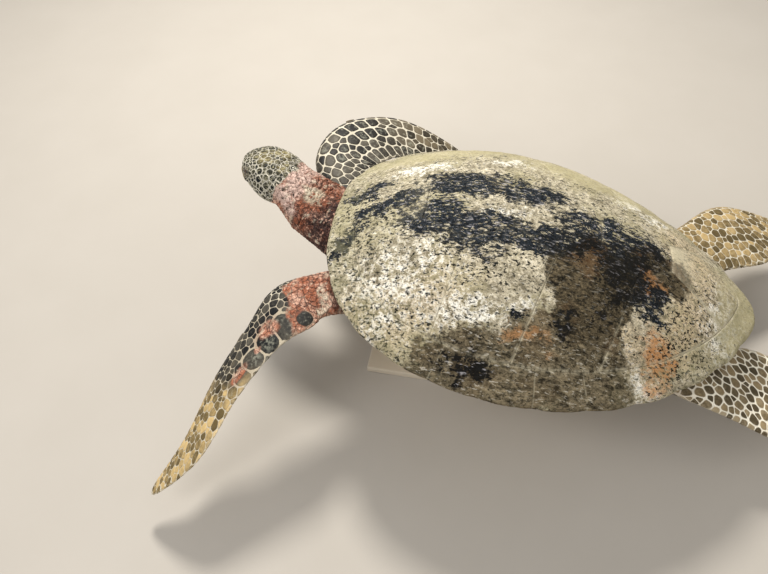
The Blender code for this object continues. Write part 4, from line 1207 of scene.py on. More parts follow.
def hide(name, scaly):
    """Hide: wrinkled skin, or horny scales over it, both marked alike, with painted highlights and shade."""
    material, paint, inputs, place = begin(name)
    rust, pale, olive, crown, painted_shade, net, mauve = paint.marks(*MARKS)
    cloud = paint.noise(place, 26.0, 5.0, 0.6)
    mottle = paint.noise(place, 130.0, 5.0, 0.65)
    fine = paint.noise(place, 420.0, 4.0, 0.65)
    # Cells of the skin's folds, for painted shade along their edges
    folds = place.stretch((1.0, 1.35, 1.0), 0.5).cells(62.0)
    # Where painted highlights fall on the rust skin: pale pink glints
    painted_highlight = (mottle * 0.50 + cloud * 0.35 + fine * 0.15).step(0.505, 0.60)
    raw = cloud.step(0.40, 0.60).between((0.330, 0.108, 0.052), (0.370, 0.190, 0.130)).coats(
        # Painted highlights: pale pink glints over the rust skin
        ((0.760, 0.480, 0.350), painted_highlight * 0.85),
        ((0.030, 0.012, 0.010), (mottle * 0.6 + fine * 0.4).step(0.485, 0.41) * 0.60),
        ((0.600, 0.440, 0.370), mauve * (mottle + cloud * 0.4).step(0.52, 0.72) * 0.88),
        # Painted shade, near black, where neck and limbs go in under the shell
        ((0.014, 0.006, 0.007), painted_shade * (mottle + cloud * 0.3).step(0.86, 0.62) * 0.94),
        # Painted shade: dark lines in the folds of the rust skin
        ((0.026, 0.010, 0.009), folds.step(0.10, 0.0) * rust * (0.85 - mauve * 0.5)),
    )
    soft = cloud.step(0.35, 0.65).between((0.44, 0.38, 0.27), (0.72, 0.66, 0.51))
    plain = soft.mix((0.42, 0.36, 0.26), 1 - net)
    if scaly:
        edge, tone, big = paint.marks("edge", "tone", "big")
        shade = (tone * 0.6 + mottle * 0.7 - 0.2).step(0.15, 0.85)
        slate = shade.between((0.007, 0.008, 0.009), (0.078, 0.070, 0.054))
        green = shade.between((0.110, 0.078, 0.030), (0.560, 0.400, 0.180))
        grey = shade.between((0.034, 0.028, 0.020), (0.135, 0.112, 0.080))
        marble = (cloud * 0.4 + mottle * 0.6).step(0.50, 0.60)
        film = cloud.step(0.48, 0.60) * 0.6 + fine.step(0.5, 0.62) * 0.4
        scuffs = (mottle * 0.7 + cloud * 0.3).step(0.540, 0.600)
        cracks = place.cells(125.0).step(0.085, 0.035) * mottle.step(0.48, 0.56)
        plate = (mottle * 0.7 + tone * 0.3).step(0.38, 0.62)
        plate = plate.between((0.004, 0.007, 0.008), (0.048, 0.045, 0.028)).coats(
            ((0.17, 0.132, 0.046), film * olive * 0.8),
            ((0.40, 0.34, 0.16), scuffs * (0.14 + olive * 0.32)),
            ((0.80, 0.74, 0.52), cracks * (0.42 - olive * 0.1)),
        )
        body = slate.coats(
            (grey, net.step(0.44, 0.50) * (1 - crown)),
            (green, olive * (1 - crown)),
            ((0.28, 0.28, 0.22), big * marble * edge.step(0.95, 0.45) * 0.55),
            (raw, (rust * (0.8 + tone * 0.5)).step(0.30, 0.75)),
            (plate, crown),
            (soft, pale * (mottle * 0.8 + tone * 0.3).step(0.40, 0.62) * 0.85),
            ((0.30, 0.26, 0.19), fine.step(0.60, 0.70) * 0.22),
        )
        between = plain.coats(
            ((0.80, 0.75, 0.62), net * 0.9),
            (raw.mix((0.045, 0.016, 0.013), 0.4), rust * 0.92),
            ((0.66, 0.60, 0.45), pale * 0.6),
        )
        limit = 0.995 - net * 0.030 - crown * (0.080 - olive * 0.065)
        border = (edge + mottle * 0.06 - 0.03 - limit).step(-0.03, 0.02)
        halo = (edge + mottle * 0.20 - 0.1 - limit).step(-0.12, 0.02) * (0.08 + net * 0.12)
        colour = body.coats((between, halo), (between, border))
        join(paint, inputs, colour, 0.40 + fine * 0.28, fine * 0.6 + mottle * 0.4, 0.0008, 0.7)
    else:
        crease = place.cells(260.0)
        colour = plain.coats(
            ((0.86, 0.81, 0.68), net * 0.8),
            (raw, rust * 0.95),
            ((0.66, 0.58, 0.43), pale * 0.7),
            # Painted shade in the creases of the rust skin
            ((0.060, 0.022, 0.018), crease.step(0.10, 0.0) * rust * 0.7),
            ((0.060, 0.055, 0.040), crown * 0.5),
        )
        height = crease.step(0.0, 0.2) * 0.7 + fine * 0.4
        join(paint, inputs, colour, 0.48 + fine * 0.25, height, 0.0009, 0.85)
    inputs["Specular IOR Level"].default_value = 0.14
    return material


skin_looks = hide("wrinkled_skin", False)
scale_looks = hide("horny_scales", True)
FLESH = [
    "trunk", "neck", "tail", "head", "jaw", "upper_arm_left", "upper_arm_right", "front_flipper_left",
    "front_flipper_right", "hind_flipper_left", "hind_flipper_right",
]
whole.transform(Matrix.Translation(BODY_PLACE) @ turtle_turn.to_4x4())
whole.materials.clear()
whole.materials.append(skin_looks)
whole.shade_smooth()
skin = bpy.data.objects.new("skin", whole)
bpy.context.collection.objects.link(skin)
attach(skin, "root")
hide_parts(*FLESH)


CHART_REACH = 0.012  # skin further than this from every chart is the trunk's


def mark_skin():
    """Gives every point of the skin the markings of the nearest place on the charts, or the trunk's."""
    places, u, w, owner = [], [], [], []
    for number, chart in enumerate(charts.values()):
        rows, sides = chart.points.shape[:2]
        row, side = np.mgrid[0:rows:2, 0:sides:2]
        turned = side.ravel() / sides
        places.append(chart.points[::2, ::2].reshape(-1, 3))
        u.append(chart.along[row].ravel())
        w.append(np.where(turned > 0.5, turned - 1, turned))
        owner.append(np.full(row.size, number))
    places, u, w, owner = (np.concatenate(rows) for rows in (places, u, w, owner))
    near = search_tree(places)
    hits = [near.find(point) for point in skin_points]
    index, gap = np.array([hit[1] for hit in hits]), np.array([hit[2] for hit in hits])
    on_chart = gap < CHART_REACH
    u, w = u[index] * on_chart, w[index] * on_chart
    owner = np.where(on_chart, owner[index], len(charts))
    values = {name: np.zeros(len(skin_points)) for name in MARKS}
    for number, part in enumerate([*charts, "trunk"]):
        own = owner == number
        for name, row in markings(part, u[own], w[own], skin_points[own]).items():
            values[name][own] = row
    mark_all(skin, values)


mark_skin()

# ---------------------------------------------------------------------------------------------------------
# The scales: small horny plates side by side in the skin, each crowned and sunk at its edge. Large ones run
# along the flippers' edges and over the head, and they shrink to beads where the skin has to bend.

ROUNDING = 9.0  # more makes the corners between neighbours sharper
NEIGHBOURS = 14
CLOSEST = 0.84  # of the sum of two scales' sizes
WIDEST = 1.45  # of a scale's size
USUAL_SCALE = 0.008
BIG_SCALE = 0.0125
SCALE_SEAM = 0.0006
RISE_SHARES = np.array([0.40, 0.72, 0.90, 1.0])
RISES = np.array([0.97, 0.86, 0.52, -0.35])
PATCH = 0.0015  # half the size of one scale's place on the unwrapped skin
BLOCK = 1500  # places worked out at once
LIFTED, LOOSE = 0.0003, 0.004  # charts this far off the skin are laid on it, or left bare


def wrapped(gap, around):
    return (gap + around / 2) % around - around / 2


def scatter(chart, size_at, fixed, seed, tries, span):
    """Places for scales over part of a chart, no two closer than their sizes allow; fixed ones come first."""
    rng = np.random.default_rng(seed)
    total = chart.along[-1]
    u = rng.uniform(span[0], span[1], tries) * total
    around = chart.girth(u)
    v = rng.uniform(-0.5, 0.5, tries) * around
    keep = rng.uniform(0, chart.around.max(), tries) < around
    u, v, around = u[keep], v[keep], around[keep]
    size = size_at(u / total, v / around)
    grade = np.linspace(0, 1, len(u))
    size = size * np.select([grade < 0.12, grade < 0.5], [1.3, 1.0], 0.74)
    placed = np.zeros((len(u) + len(fixed), 3))
    placed[: len(fixed)] = fixed
    count = len(fixed)
    for k in np.flatnonzero(size > 0):
        gap_u = placed[:count, 0] - u[k]
        gap_v = wrapped(placed[:count, 1] - v[k], around[k])
        if count == 0 or (gap_u**2 + gap_v**2 - (CLOSEST * (placed[:count, 2] + size[k])) ** 2).min() > 0:
            placed[count] = u[k], v[k], size[k]
            count += 1
    placed = placed[:count]
    cloud = np.stack([u, v], axis=1)[size > 0][: NEIGHBOURS * count]
    for _ in range(2):
        total_u, total_v, hits = np.zeros(count), np.zeros(count), np.zeros(count)
        for start in range(0, len(cloud), BLOCK):
            part = cloud[start : start + BLOCK]
            ring = chart.girth(part[:, 0])[:, None]
            gap_u = part[:, :1] - placed[None, :, 0]
            gap_v = wrapped(part[:, 1:] - placed[None, :, 1], ring)
            owner = ((gap_u**2 + gap_v**2) / placed[None, :, 2] ** 2).argmin(axis=1)
            row = np.arange(len(part))
            np.add.at(total_u, owner, gap_u[row, owner])
            np.add.at(total_v, owner, gap_v[row, owner])
            np.add.at(hits, owner, 1)
        move = np.stack([total_u, total_v], axis=1) / np.maximum(hits, 1)[:, None]
        move[: len(fixed)] = 0
        placed[:, :2] += move * 0.8
    return placed


def cell_reach(chart, placed, angles):
    """How far each scale reaches in each direction before it meets its neighbours."""
    turn = turns(angles)
    aims = np.stack([np.cos(turn), np.sin(turn)])
    reach = np.empty((len(placed), angles))
    nearest = min(NEIGHBOURS, len(placed) - 1)
    for start in range(0, len(placed), 500):
        part = placed[start : start + 500]
        ring = chart.girth(part[:, 0])[:, None]
        gap_u = placed[None, :, 0] - part[:, :1]
        gap_v = wrapped(placed[None, :, 1] - part[:, 1:2], ring)
        gap = np.hypot(gap_u, gap_v)
        share = part[:, 2:3] / (part[:, 2:3] + placed[None, :, 2])
        border = gap * share
        border[np.arange(len(part)), start + np.arange(len(part))] = 1e9
        near = np.argpartition(border, nearest, axis=1)[:, :nearest]
        pick = functools.partial(np.take_along_axis, indices=near, axis=1)
        length = np.maximum(pick(gap), 1e-9)
        way = np.stack([pick(gap_u) / length, pick(gap_v) / length], axis=-1)
        inverse = np.maximum(way @ aims, 0) / np.maximum(pick(border), 1e-6)[..., None]
        reach[start : start + 500] = np.maximum((inverse**ROUNDING).sum(axis=1), 1e-9) ** (-1 / ROUNDING)
    wide_seam = 0.0009 * smooth((placed[:, 2:3] - BIG_SCALE) / 0.004)
    return np.minimum(reach, placed[:, 2:3] * WIDEST) - SCALE_SEAM / 2 - wide_seam


def lay_scales(name, chart, placed, angles, height, part, seed, keep=None, free=False):
    """One joined piece of scales on a chart of the skin."""
    reach = cell_reach(chart, placed, angles)
    if keep is not None:
        placed, reach = placed[keep], reach[keep]
    roots = chart.read(chart.points, placed[:, 0], placed[:, 1])
    gap = np.array([0.0 if free else skin_tree.find_nearest(root)[3] for root in roots])
    hidden = (shell_place(roots[:, :2])[1] < 0.80) & (roots[:, 2] > -0.125)
    shown = (gap < LOOSE) & ~hidden
    placed, reach, gap = placed[shown], reach[shown], gap[shown]
    count, rings = len(placed), len(RISE_SHARES)
    turn = turns(angles)
    spread_u = reach[:, None] * np.cos(turn) * RISE_SHARES[:, None]
    spread_v = reach[:, None] * np.sin(turn) * RISE_SHARES[:, None]
    u = np.concatenate([placed[:, :1], (placed[:, 0, None, None] + spread_u).reshape(count, -1)], axis=1)
    v = np.concatenate([placed[:, 1:2], (placed[:, 1, None, None] + spread_v).reshape(count, -1)], axis=1)
    points = chart.read(chart.points, u, v)
    normals = unit(chart.read(chart.normals, u, v))
    for k in np.flatnonzero(gap > LIFTED):
        points[k] = [skin_tree.find_nearest(point)[0] for point in points[k]]
    rise = np.concatenate([[1.0], np.repeat(RISES, angles)])
    rng = np.random.default_rng(seed)
    tone = rng.uniform(0, 1, count)
    tall = height * np.clip(placed[:, 2] / USUAL_SCALE, 0.55, 1.35) * rng.uniform(0.85, 1.1, count)
    points = points + normals * (tall[:, None] * rise)[..., None]
    size = 1 + rings * angles
    first = np.arange(count)[:, None] * size
    k = np.arange(angles)
    after = (k + 1) % angles
    fans = np.stack([np.zeros(angles, int), 1 + k, 1 + after], axis=1)
    band = np.stack([1 + k, 1 + angles + k, 1 + angles + after, 1 + after], axis=1)
    bands = np.concatenate([band + r * angles for r in range(rings - 1)])
    base_ring = 1 + (rings - 1) * angles + k[::-1]
    sample = points[0]
    normal = np.cross(sample[fans[0, 1]] - sample[0], sample[fans[0, 2]] - sample[0])
    if normal @ normals[0, 0] < 0:
        fans, bands, base_ring = fans[:, ::-1], bands[:, ::-1], base_ring[::-1]
    faces = (first[..., None] + fans).reshape(-1, 3).tolist()
    faces += (first[..., None] + bands).reshape(-1, 4).tolist()
    faces += (first + base_ring).tolist()
    piece = make(name, points.reshape(-1, 3), faces, scale_looks)
    around = chart.girth(u)
    w = (v / around + 0.5) % 1 - 0.5
    mark_all(piece, markings(part, u.ravel(), w.ravel(), points.reshape(-1, 3)))
    mark(piece, "big", np.repeat(smooth((placed[:, 2] - BIG_SCALE) / 0.003), size))
    mark(piece, "edge", np.tile(np.concatenate([[0.0], np.repeat(RISE_SHARES, angles)]), count))
    mark(piece, "tone", np.repeat(tone, size))
    root_uv = 0.04 + 0.92 * np.stack([w[:, 0] + 0.5, u[:, 0] / chart.along[-1]], axis=1)
    circle = np.stack([np.cos(turn), np.sin(turn)], axis=1)
    local = np.concatenate([[[0, 0]], np.tile(circle, (rings, 1)) * np.repeat(RISE_SHARES, angles)[:, None]])
    spots = (root_uv[:, None] + local * PATCH).reshape(-1, 2)
    corners = np.empty(len(piece.data.loops), np.int32)
    piece.data.loops.foreach_get("vertex_index", corners)
    layer = piece.data.uv_layers.new(name="OFBake")
    layer.data.foreach_set("uv", spots[corners].astype(np.float32).ravel())


def place_along(chart, t):
    return np.interp(t, np.linspace(0, 1, len(chart.along)), chart.along)


def edge_rows(chart, upper, rows):
    """Fixed scales in rows along a limb: (from, to, how far round it, first and last size, more midway)."""
    fixed = []
    for start, finish, w, first, last, bulge in rows:
        t = start
        while t < finish:
            f = (t - start) / (finish - start)
            size = first + (last - first) * f + bulge * math.sin(math.pi * f)
            u = place_along(chart, t)
            fixed.append((u, upper * w * chart.girth(u), size))
            t += 1.82 * size / chart.along[-1]
    return fixed


def limb_size(root, body, tip, start, full):
    """Sizes of the scales over a limb: beads up to `start`, the full size by `full`, and less at the tip."""
    def size(t, w):
        grow = smooth((t - start) / (full - start))
        value = root + (body - root) * grow
        value = value + (tip - body) * smooth((t - 0.75) / 0.2)
        value = value * (1 + 0.25 * smooth((np.abs(w) - 0.36) / 0.08) * grow)
        return value
    return size


# The largest plates of the near front flipper: (share of its length, how far round, size)
NEAR_PLATES = [
    (0.322, 0.415, 0.0230), (0.408, 0.378, 0.0360), (0.484, 0.382, 0.0350), (0.553, 0.388, 0.0315),
    (0.614, 0.405, 0.0230), (0.664, 0.420, 0.0180), (0.497, 0.165, 0.0118), (0.558, 0.110, 0.0120),
    (0.578, 0.215, 0.0105), (0.312, 0.169, 0.0092), (0.266, 0.182, 0.0080), (0.350, 0.215, 0.0085),
]
HIND_ROWS = [(0.40, 0.95, 0.0, 0.010, 0.008, 0.001), (0.40, 0.95, 0.45, 0.011, 0.009, 0.002)]
LIMBS = [
    # limb, plates, rows, root size, full size, tip size, beads up to, full size from, angles, height
    ("front_left", NEAR_PLATES, [
        (0.70, 0.95, 0.43, 0.012, 0.007, 0.0), (0.62, 0.94, 0.0, 0.0085, 0.006, 0.002),
        (0.36, 0.9, -0.44, 0.013, 0.007, 0.0),
    ], 0.0036, 0.0076, 0.0058, 0.20, 0.38, 20, 0.0011),
    ("front_right", [], [
        (0.34, 0.92, 0.43, 0.021, 0.010, 0.002), (0.34, 0.94, 0.0, 0.012, 0.007, 0.004),
        (0.42, 0.88, 0.10, 0.017, 0.009, 0.003), (0.46, 0.86, 0.22, 0.019, 0.009, 0.002),
        (0.36, 0.9, -0.44, 0.013, 0.007, 0.0),
    ], 0.0050, 0.0120, 0.0065, 0.10, 0.36, 20, 0.0011),
    ("hind_left", [], HIND_ROWS, 0.0050, 0.0090, 0.0075, 0.10, 0.45, 20, 0.0010),
    ("hind_right", [], HIND_ROWS, 0.0050, 0.0096, 0.0075, 0.10, 0.45, 20, 0.0010),
    ("tail", [], [], 0.0045, 0.0055, 0.0045, 0.10, 0.5, 14, 0.0008),
]
for number, (part, plates, rows, root, body, tip, start, full, angles, height) in enumerate(LIMBS):
    chart, upper = charts[part], UPPER_SIDE[part]
    fixed = edge_rows(chart, upper, rows)
    for t, w, size in plates:
        u = place_along(chart, t)
        fixed.append((u, upper * w * chart.girth(u), size))
    fixed = np.array(fixed).reshape(-1, 3)
    placed = scatter(chart, limb_size(root, body, tip, start, full), fixed, 40 + number, 18000, (0.06, 0.985))
    lay_scales(f"scales_{part}", chart, placed, angles, height, part, 80 + number)

# The head's plates, named by (share of its length, distance from the midline over the crown, size)
CROWN_PLATES = [
    (0.90, 0.0070, 0.0062), (0.80, 0.0080, 0.0078), (0.705, 0.0, 0.0070), (0.70, 0.0155, 0.0062),
    (0.60, 0.0245, 0.0098), (0.59, 0.0, 0.0098), (0.51, 0.0140, 0.0072), (0.48, 0.0320, 0.0085),
    (0.40, 0.0, 0.0074), (0.40, 0.0150, 0.0085), (0.36, 0.0330, 0.0088), (0.25, 0.0080, 0.0078),
    (0.24, 0.0245, 0.0080), (0.22, 0.0410, 0.0078), (0.12, 0.0, 0.0062), (0.11, 0.0130, 0.0064),
    (0.115, 0.0290, 0.0072), (0.02, 0.0065, 0.0060), (0.015, 0.0200, 0.0064), (0.03, 0.0380, 0.0066),
]
CHEEK_PLATES = [
    (0.505, 0.0500, 0.0050), (0.470, 0.0600, 0.0058), (0.490, 0.0720, 0.0056), (0.545, 0.0830, 0.0050),
    (0.370, 0.0520, 0.0082), (0.330, 0.0690, 0.0088), (0.390, 0.0850, 0.0080), (0.230, 0.0560, 0.0082),
    (0.180, 0.0720, 0.0088), (0.240, 0.0880, 0.0082), (0.130, 0.0480, 0.0070), (0.460, 0.0980, 0.0072),
    (0.120, 0.0900, 0.0072), (0.580, 0.1000, 0.0066), (0.330, 0.1040, 0.0074), (0.200, 0.1050, 0.0070),
]
BEAK_BACK, BEAK_BAND = -0.104, 0.0105


def head_size(t, w):
    """Sizes of the scales on head and neck: none on beak, nostrils and eyes, beads on neck and throat."""
    u = t * head_chart.along[-1]
    place = to_left(to_head(head_chart.read(head_chart.points, u, w * head_chart.girth(u))))
    share = head_share(u)
    near_plates = smooth((share + 0.08 - bent_side(w)) / 0.1)
    size = 0.0031 + 0.0008 * smooth((share + 0.42) / 0.3) + 0.0007 * near_plates
    size = size - 0.0008 * smooth((np.abs(w) - 0.36) / 0.08) * smooth((share - 0.02) / 0.1)
    y, above = place[:, 1], place[:, 2] - MOUTH_HEIGHT
    beak = (y < BEAK_BACK - 0.001) & (np.abs(above - 0.001) < BEAK_BAND + 0.0025)
    out, wide = from_eye(place)
    eye = (wide < 0.0128) & (out > 0)
    nostril = np.linalg.norm(place - np.array(NOSTRIL), axis=1) < 0.0030
    mouth = (y < JAW_CORNER) & (np.abs(above - 0.002) < 0.0025)
    return np.where(beak | eye | nostril | mouth | (share > 0.992), 0.0, size)


fixed = []
for share, v, size in CROWN_PLATES + CHEEK_PLATES:
    u = np.interp(share, head_rows, head_chart.along)
    fixed += [(u, v, size), (u, -v, size)] if v and share > 0.1 else [(u, v, size)]
placed = scatter(head_chart, head_size, np.array(fixed), 31, 34000, (0.20, 0.999))
share = head_share(placed[:, 0])
side_of = placed[:, 1] / head_chart.girth(placed[:, 0])
on_head = share > -0.05 + bent_side(side_of)
lay_scales("scales_head", head_chart, placed, 22, 0.00085, "neck", 91, on_head)
lay_scales("scales_neck_left", head_chart, placed, 12, 0.0010, "neck", 92, ~on_head & (side_of > 0))
lay_scales("scales_neck_right", head_chart, placed, 12, 0.0010, "neck", 93, ~on_head & (side_of <= 0))

# ---------------------------------------------------------------------------------------------------------
# The eyes: large dark balls of glass with a wet surface, set deep under the brow. Thick beaded lids of the
# same hide close round them to a slanting almond.

SLANT = math.radians(20)
OPENING, UPPER, LOWER = math.radians(52), math.radians(33), math.radians(29)
PUPIL, IRIS = math.radians(13), math.radians(33)
POINTED = 1.55  # 2 would make the opening an ellipse, and less makes its corners sharper


def eye_frame(sign, sides):
    """The eye's middle, its gaze, turns from its front corner up over it, and the ways that they point."""
    mirror = np.array([sign, 1, 1])
    out = GAZE * mirror
    forward = np.array([0, -1.0, 0])
    forward = unit(forward - out * (forward @ out))
    up = np.cross(out, forward)
    up = up * np.sign(up[2])
    along_lids = forward * math.cos(SLANT) - up * math.sin(SLANT)
    across = forward * math.sin(SLANT) + up * math.cos(SLANT)
    turn = turns(sides)
    ways = np.cos(turn)[:, None] * along_lids + np.sin(turn)[:, None] * across
    return np.array(EYE_PLACE) * mirror, out, turn, ways


def off_gaze(polar, out, ways):
    """Directions at an angle from the gaze, for each way round it."""
    return np.cos(polar)[..., None] * out + np.sin(polar)[..., None] * ways


material, paint, inputs, place = begin("wet_eye")
off_axis = paint.marks("off_axis")[0]
ray = paint.noise(place, 900.0, 4.0, 0.7)
brown = ray.step(0.4, 0.6).between((0.030, 0.016, 0.008), (0.110, 0.062, 0.025))
colour = brown.coats(
    ((0.004, 0.004, 0.004), off_axis.step(PUPIL + 0.02, PUPIL - 0.02)),
    ((0.018, 0.014, 0.012), off_axis.step(IRIS - 0.06, IRIS + 0.06)),
)
join(paint, inputs, colour)
inputs["Roughness"].default_value = 0.08
inputs["Coat Weight"].default_value = 1.0
inputs["Coat Roughness"].default_value = 0.02
eye_looks = material


def eyeball(side, sign):
    """A ball with a slight bulge over the iris, closed with a fan of faces at each pole."""
    high, wide = 39, 48
    centre, out, _, ways = eye_frame(sign, wide)
    polar = np.linspace(0, math.pi, high + 2)[1:-1]
    radius = EYE_RADIUS - 0.0004 + 0.0006 * smooth((IRIS - polar) / IRIS)
    rows = centre + radius[:, None, None] * off_gaze(polar[:, None], out, ways)
    poles = np.array([centre + out * radius[0], centre - out * radius[-1]])
    points = np.concatenate([rows.reshape(-1, 3), poles])
    north, last = high * wide, (high - 1) * wide
    faces = tube_faces(high, wide, False)
    faces += [((k + 1) % wide, k, north) for k in range(wide)]
    faces += [(last + k, last + (k + 1) % wide, north + 1) for k in range(wide)]
    piece = make(f"eyeball_{side}", from_head(points), faces, eye_looks, [f"eye_{side}"])
    mark(piece, "off_axis", np.concatenate([np.repeat(polar, wide), [0, math.pi]]))
    outward(piece)


# The lid's slice, outwards from the opening: (angle past the opening in degrees, height over the eyeball)
LID_SLICE = [
    (1.2, 0.0001), (-0.6, 0.0005), (-1.2, 0.0011), (-0.5, 0.0017), (1.5, 0.0020), (4.5, 0.0022),
    (6.5, 0.0019), (9.0, 0.0023), (13.0, 0.0024), (16.0, 0.0020), (19.0, 0.0022), (24.0, 0.0021),
    (28.0, 0.0016), (33.0, 0.0013), (38.0, 0.0002), (44.0, -0.0014), (44.0, -0.0024), (24.0, -0.0010),
    (8.0, -0.0003),
]
OUTER_FIRST, OUTER_LAST = 3, 14


def bead_size(t, _):
    return 0.00115 + 0.0007 * smooth((t - 0.2) / 0.5)


def eyelids(side, sign):
    """A ring of lid round the eye, its slice closed on itself, with beads over its outer face."""
    centre, out, turn, ways = eye_frame(sign, 96)
    tall = np.where(np.sin(turn) > 0, UPPER, LOWER)
    open_to = (np.abs(np.cos(turn)) / OPENING) ** POINTED + (np.abs(np.sin(turn)) / tall) ** POINTED
    open_to = open_to ** (-1 / POINTED)
    heavy = 1 + 0.30 * np.maximum(np.sin(turn), 0)
    rows = []
    for past, height in LID_SLICE:
        polar = np.minimum(open_to + math.radians(past), math.radians(88))
        radius = EYE_RADIUS + height * np.where(height > 0, heavy, 1)
        rows.append(centre + radius[:, None] * off_gaze(polar, out, ways))
    rows = from_head(np.array(rows))
    count, wide = rows.shape[:2]
    index = np.arange(count * wide).reshape(count, wide)
    after, below = np.roll(index, -1, axis=1), np.roll(index, -1, axis=0)
    faces = np.stack([index, after, np.roll(after, -1, axis=0), below], axis=-1).reshape(-1, 4).tolist()
    piece = make(f"eyelids_{side}", rows.reshape(-1, 3), faces, skin_looks)
    outward(piece)
    nothing = np.zeros(count * wide)
    mark_all(piece, markings("lids", nothing, nothing, rows.reshape(-1, 3)))
    chart = Chart(rows[OUTER_FIRST : OUTER_LAST + 1])
    placed = scatter(chart, bead_size, np.zeros((0, 3)), 71, 2600, (0.03, 0.93))
    lay_scales(f"scales_lids_{side}", chart, placed, 12, 0.00042, "lids", 72, free=True)


for side, sign in (("left", 1), ("right", -1)):
    eyeball(side, sign)
    eyelids(side, sign)

# ---------------------------------------------------------------------------------------------------------
# The beak: a sheath of worn horn on each jaw. The upper one laps over the lower and comes to a slight hook,
# and the lower one is finely toothed along its edge.

material, paint, inputs, place = begin("worn_horn")
band = paint.noise(place.stretch((300.0, 300.0, 60.0)), 1.0, 4.0, 0.6)
stain = paint.noise(place, 75.0, 5.0, 0.65)
colour = band.step(0.30, 0.70).between((0.17, 0.115, 0.045), (0.30, 0.215, 0.095))
colour = colour.mix((0.038, 0.030, 0.018), stain.step(0.46, 0.62) * 0.85)
join(paint, inputs, colour, 0.30 + stain * 0.3, band * 0.6 + stain * 0.5, 0.0005, 0.6)
horn_looks = material


INSIDE_SNOUT = -0.112


def cast(turn, height):
    """Where a level line from inside the snout meets the skin, in the head's frame."""
    start = np.array([0, INSIDE_SNOUT, height])
    way = np.array([math.sin(turn), -math.cos(turn), 0])
    hit = skin_tree.ray_cast(Vector(from_head(start)), Vector(HEAD_AXES @ way))
    found = to_head(np.array(hit[0])) if hit[0] else start + way * 0.01
    return found, way


def sheath(name, node, sign, proud):
    """A horn sheath on the upper jaw for sign 1, on the lower for sign -1."""
    widest = math.radians(104)
    angles = np.linspace(-widest, widest, 113)
    levels = np.linspace(0, 1, 14)
    outer, inner = [], []
    for number, turn in enumerate(angles):
        line = mouth_line(cast(turn, MOUTH_HEIGHT)[0][1])
        hook = 0.0022 * soft_spot(turn / 0.24)
        tooth = 0.0003 * math.cos(number * math.pi)
        edge = 0.0004 - hook if sign > 0 else 0.0010 + tooth + hook * 0.6
        tall = 0.0100 + 0.0030 * soft_spot(turn / 0.5) if sign > 0 else 0.0088
        tall = tall - 0.003 * smooth((abs(turn) - 1.2) / 0.6)
        column_out, column_in = [], []
        ends = smooth((widest - abs(turn)) / 0.20)
        for level in levels:
            height = line + sign * (edge + (tall - edge) * level)
            base_height = line + sign * max(0.0035, edge + (tall - edge) * level)
            found, way = cast(turn, base_height)
            found = np.array([found[0], found[1], height])
            thick = proud * ends * (1 - smooth((level - 0.72) / 0.28)) - 0.0006 * smooth((level - 0.8) / 0.2)
            thick -= 0.0006 * (1 - ends) + 0.0003 * (1 - smooth(level / 0.12))
            column_out.append(found + way * thick)
            column_in.append(found - way * 0.0028)
        outer.append(column_out)
        inner.append(column_in[::-1])
    rings = from_head(np.concatenate([np.array(outer), np.array(inner)], axis=1))
    loft(name, rings, horn_looks, node)


sheath("beak_sheath_upper", "beak_upper", 1, 0.0016)
sheath("beak_sheath_lower", "beak_lower", -1, 0.0010)

# ---------------------------------------------------------------------------------------------------------
# The claws: a single short hook of dark horn on each front flipper. It grows out of the leading edge at the
# wrist and points along the flipper.

CLAW_AT, CLAW_LENGTH, CLAW_THICK = 0.52, 0.026, 0.0055
CLAW_SIDES, CLAW_RINGS = 20, 24
material, paint, inputs, place = begin("claw_horn")
band = paint.noise(place, 240.0, 4.0, 0.6)
colour = band.between((0.035, 0.026, 0.016), (0.16, 0.115, 0.06))
join(paint, inputs, colour, 0.28 + band * 0.25, band, 0.0004, 0.5)
for side in ("left", "right"):
    chart = charts["front_" + side]
    u = place_along(chart, CLAW_AT)
    root, ahead = chart.read(chart.points, np.array([u, u + 0.016]), np.zeros(2))
    middle = chart.points[int(CLAW_AT * len(chart.points))].mean(axis=0)
    out, aim = unit(root - middle), unit(ahead - root)
    across = unit(np.cross(out, aim))
    turn = turns(CLAW_SIDES)
    rings = []
    for f in np.linspace(0, 1, CLAW_RINGS):
        centre = root + out * (0.0012 + 0.0075 * f * (1 - 0.35 * f)) + aim * (f * CLAW_LENGTH)
        radius = CLAW_THICK * (1 - 0.93 * f**1.4) * (1 + 0.03 * math.sin(f * 60))
        rings.append(centre + (np.outer(np.cos(turn), out) + np.outer(np.sin(turn) * 0.8, across)) * radius)
    loft(f"claw_horn_{side}", np.array(rings), material, f"claw_{side}")

# ---------------------------------------------------------------------------------------------------------
# The stand: a flat board with a satin coat of pale paint, and two brushed steel rods up to the belly plate.

material, paint, inputs, place = begin("board_paint", level=False)
orange_peel, dust = paint.noise(place, 700.0, 2.0), paint.noise(place, 8.0, 5.0, 0.6)
colour = dust.between((0.50, 0.43, 0.33), (0.58, 0.51, 0.40))
join(paint, inputs, colour, 0.40 + dust * 0.2, orange_peel, 0.0002, 0.25)
board_looks = material
material, paint, inputs, place = begin("brushed_steel", level=False)
brush = paint.noise(place.stretch((900.0, 900.0, 12.0)), 1.0, 4.0, 0.6)
colour = brush.between((0.42, 0.42, 0.43), (0.64, 0.64, 0.65))
join(paint, inputs, colour, 0.24 + brush * 0.2, brush, 0.0002, 0.4)
inputs["Metallic"].default_value = 1.0
for node, looks in (("stand_base", board_looks), ("stand_rod_front", material), ("stand_rod_rear", material)):
    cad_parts[node].data.materials.clear()
    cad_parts[node].data.materials.append(looks)

# ---------------------------------------------------------------------------------------------------------
# Studio: a plain pale floor of fine grain under one small bright lamp and two broad soft ones, with the
# camera above the animal and to its left.

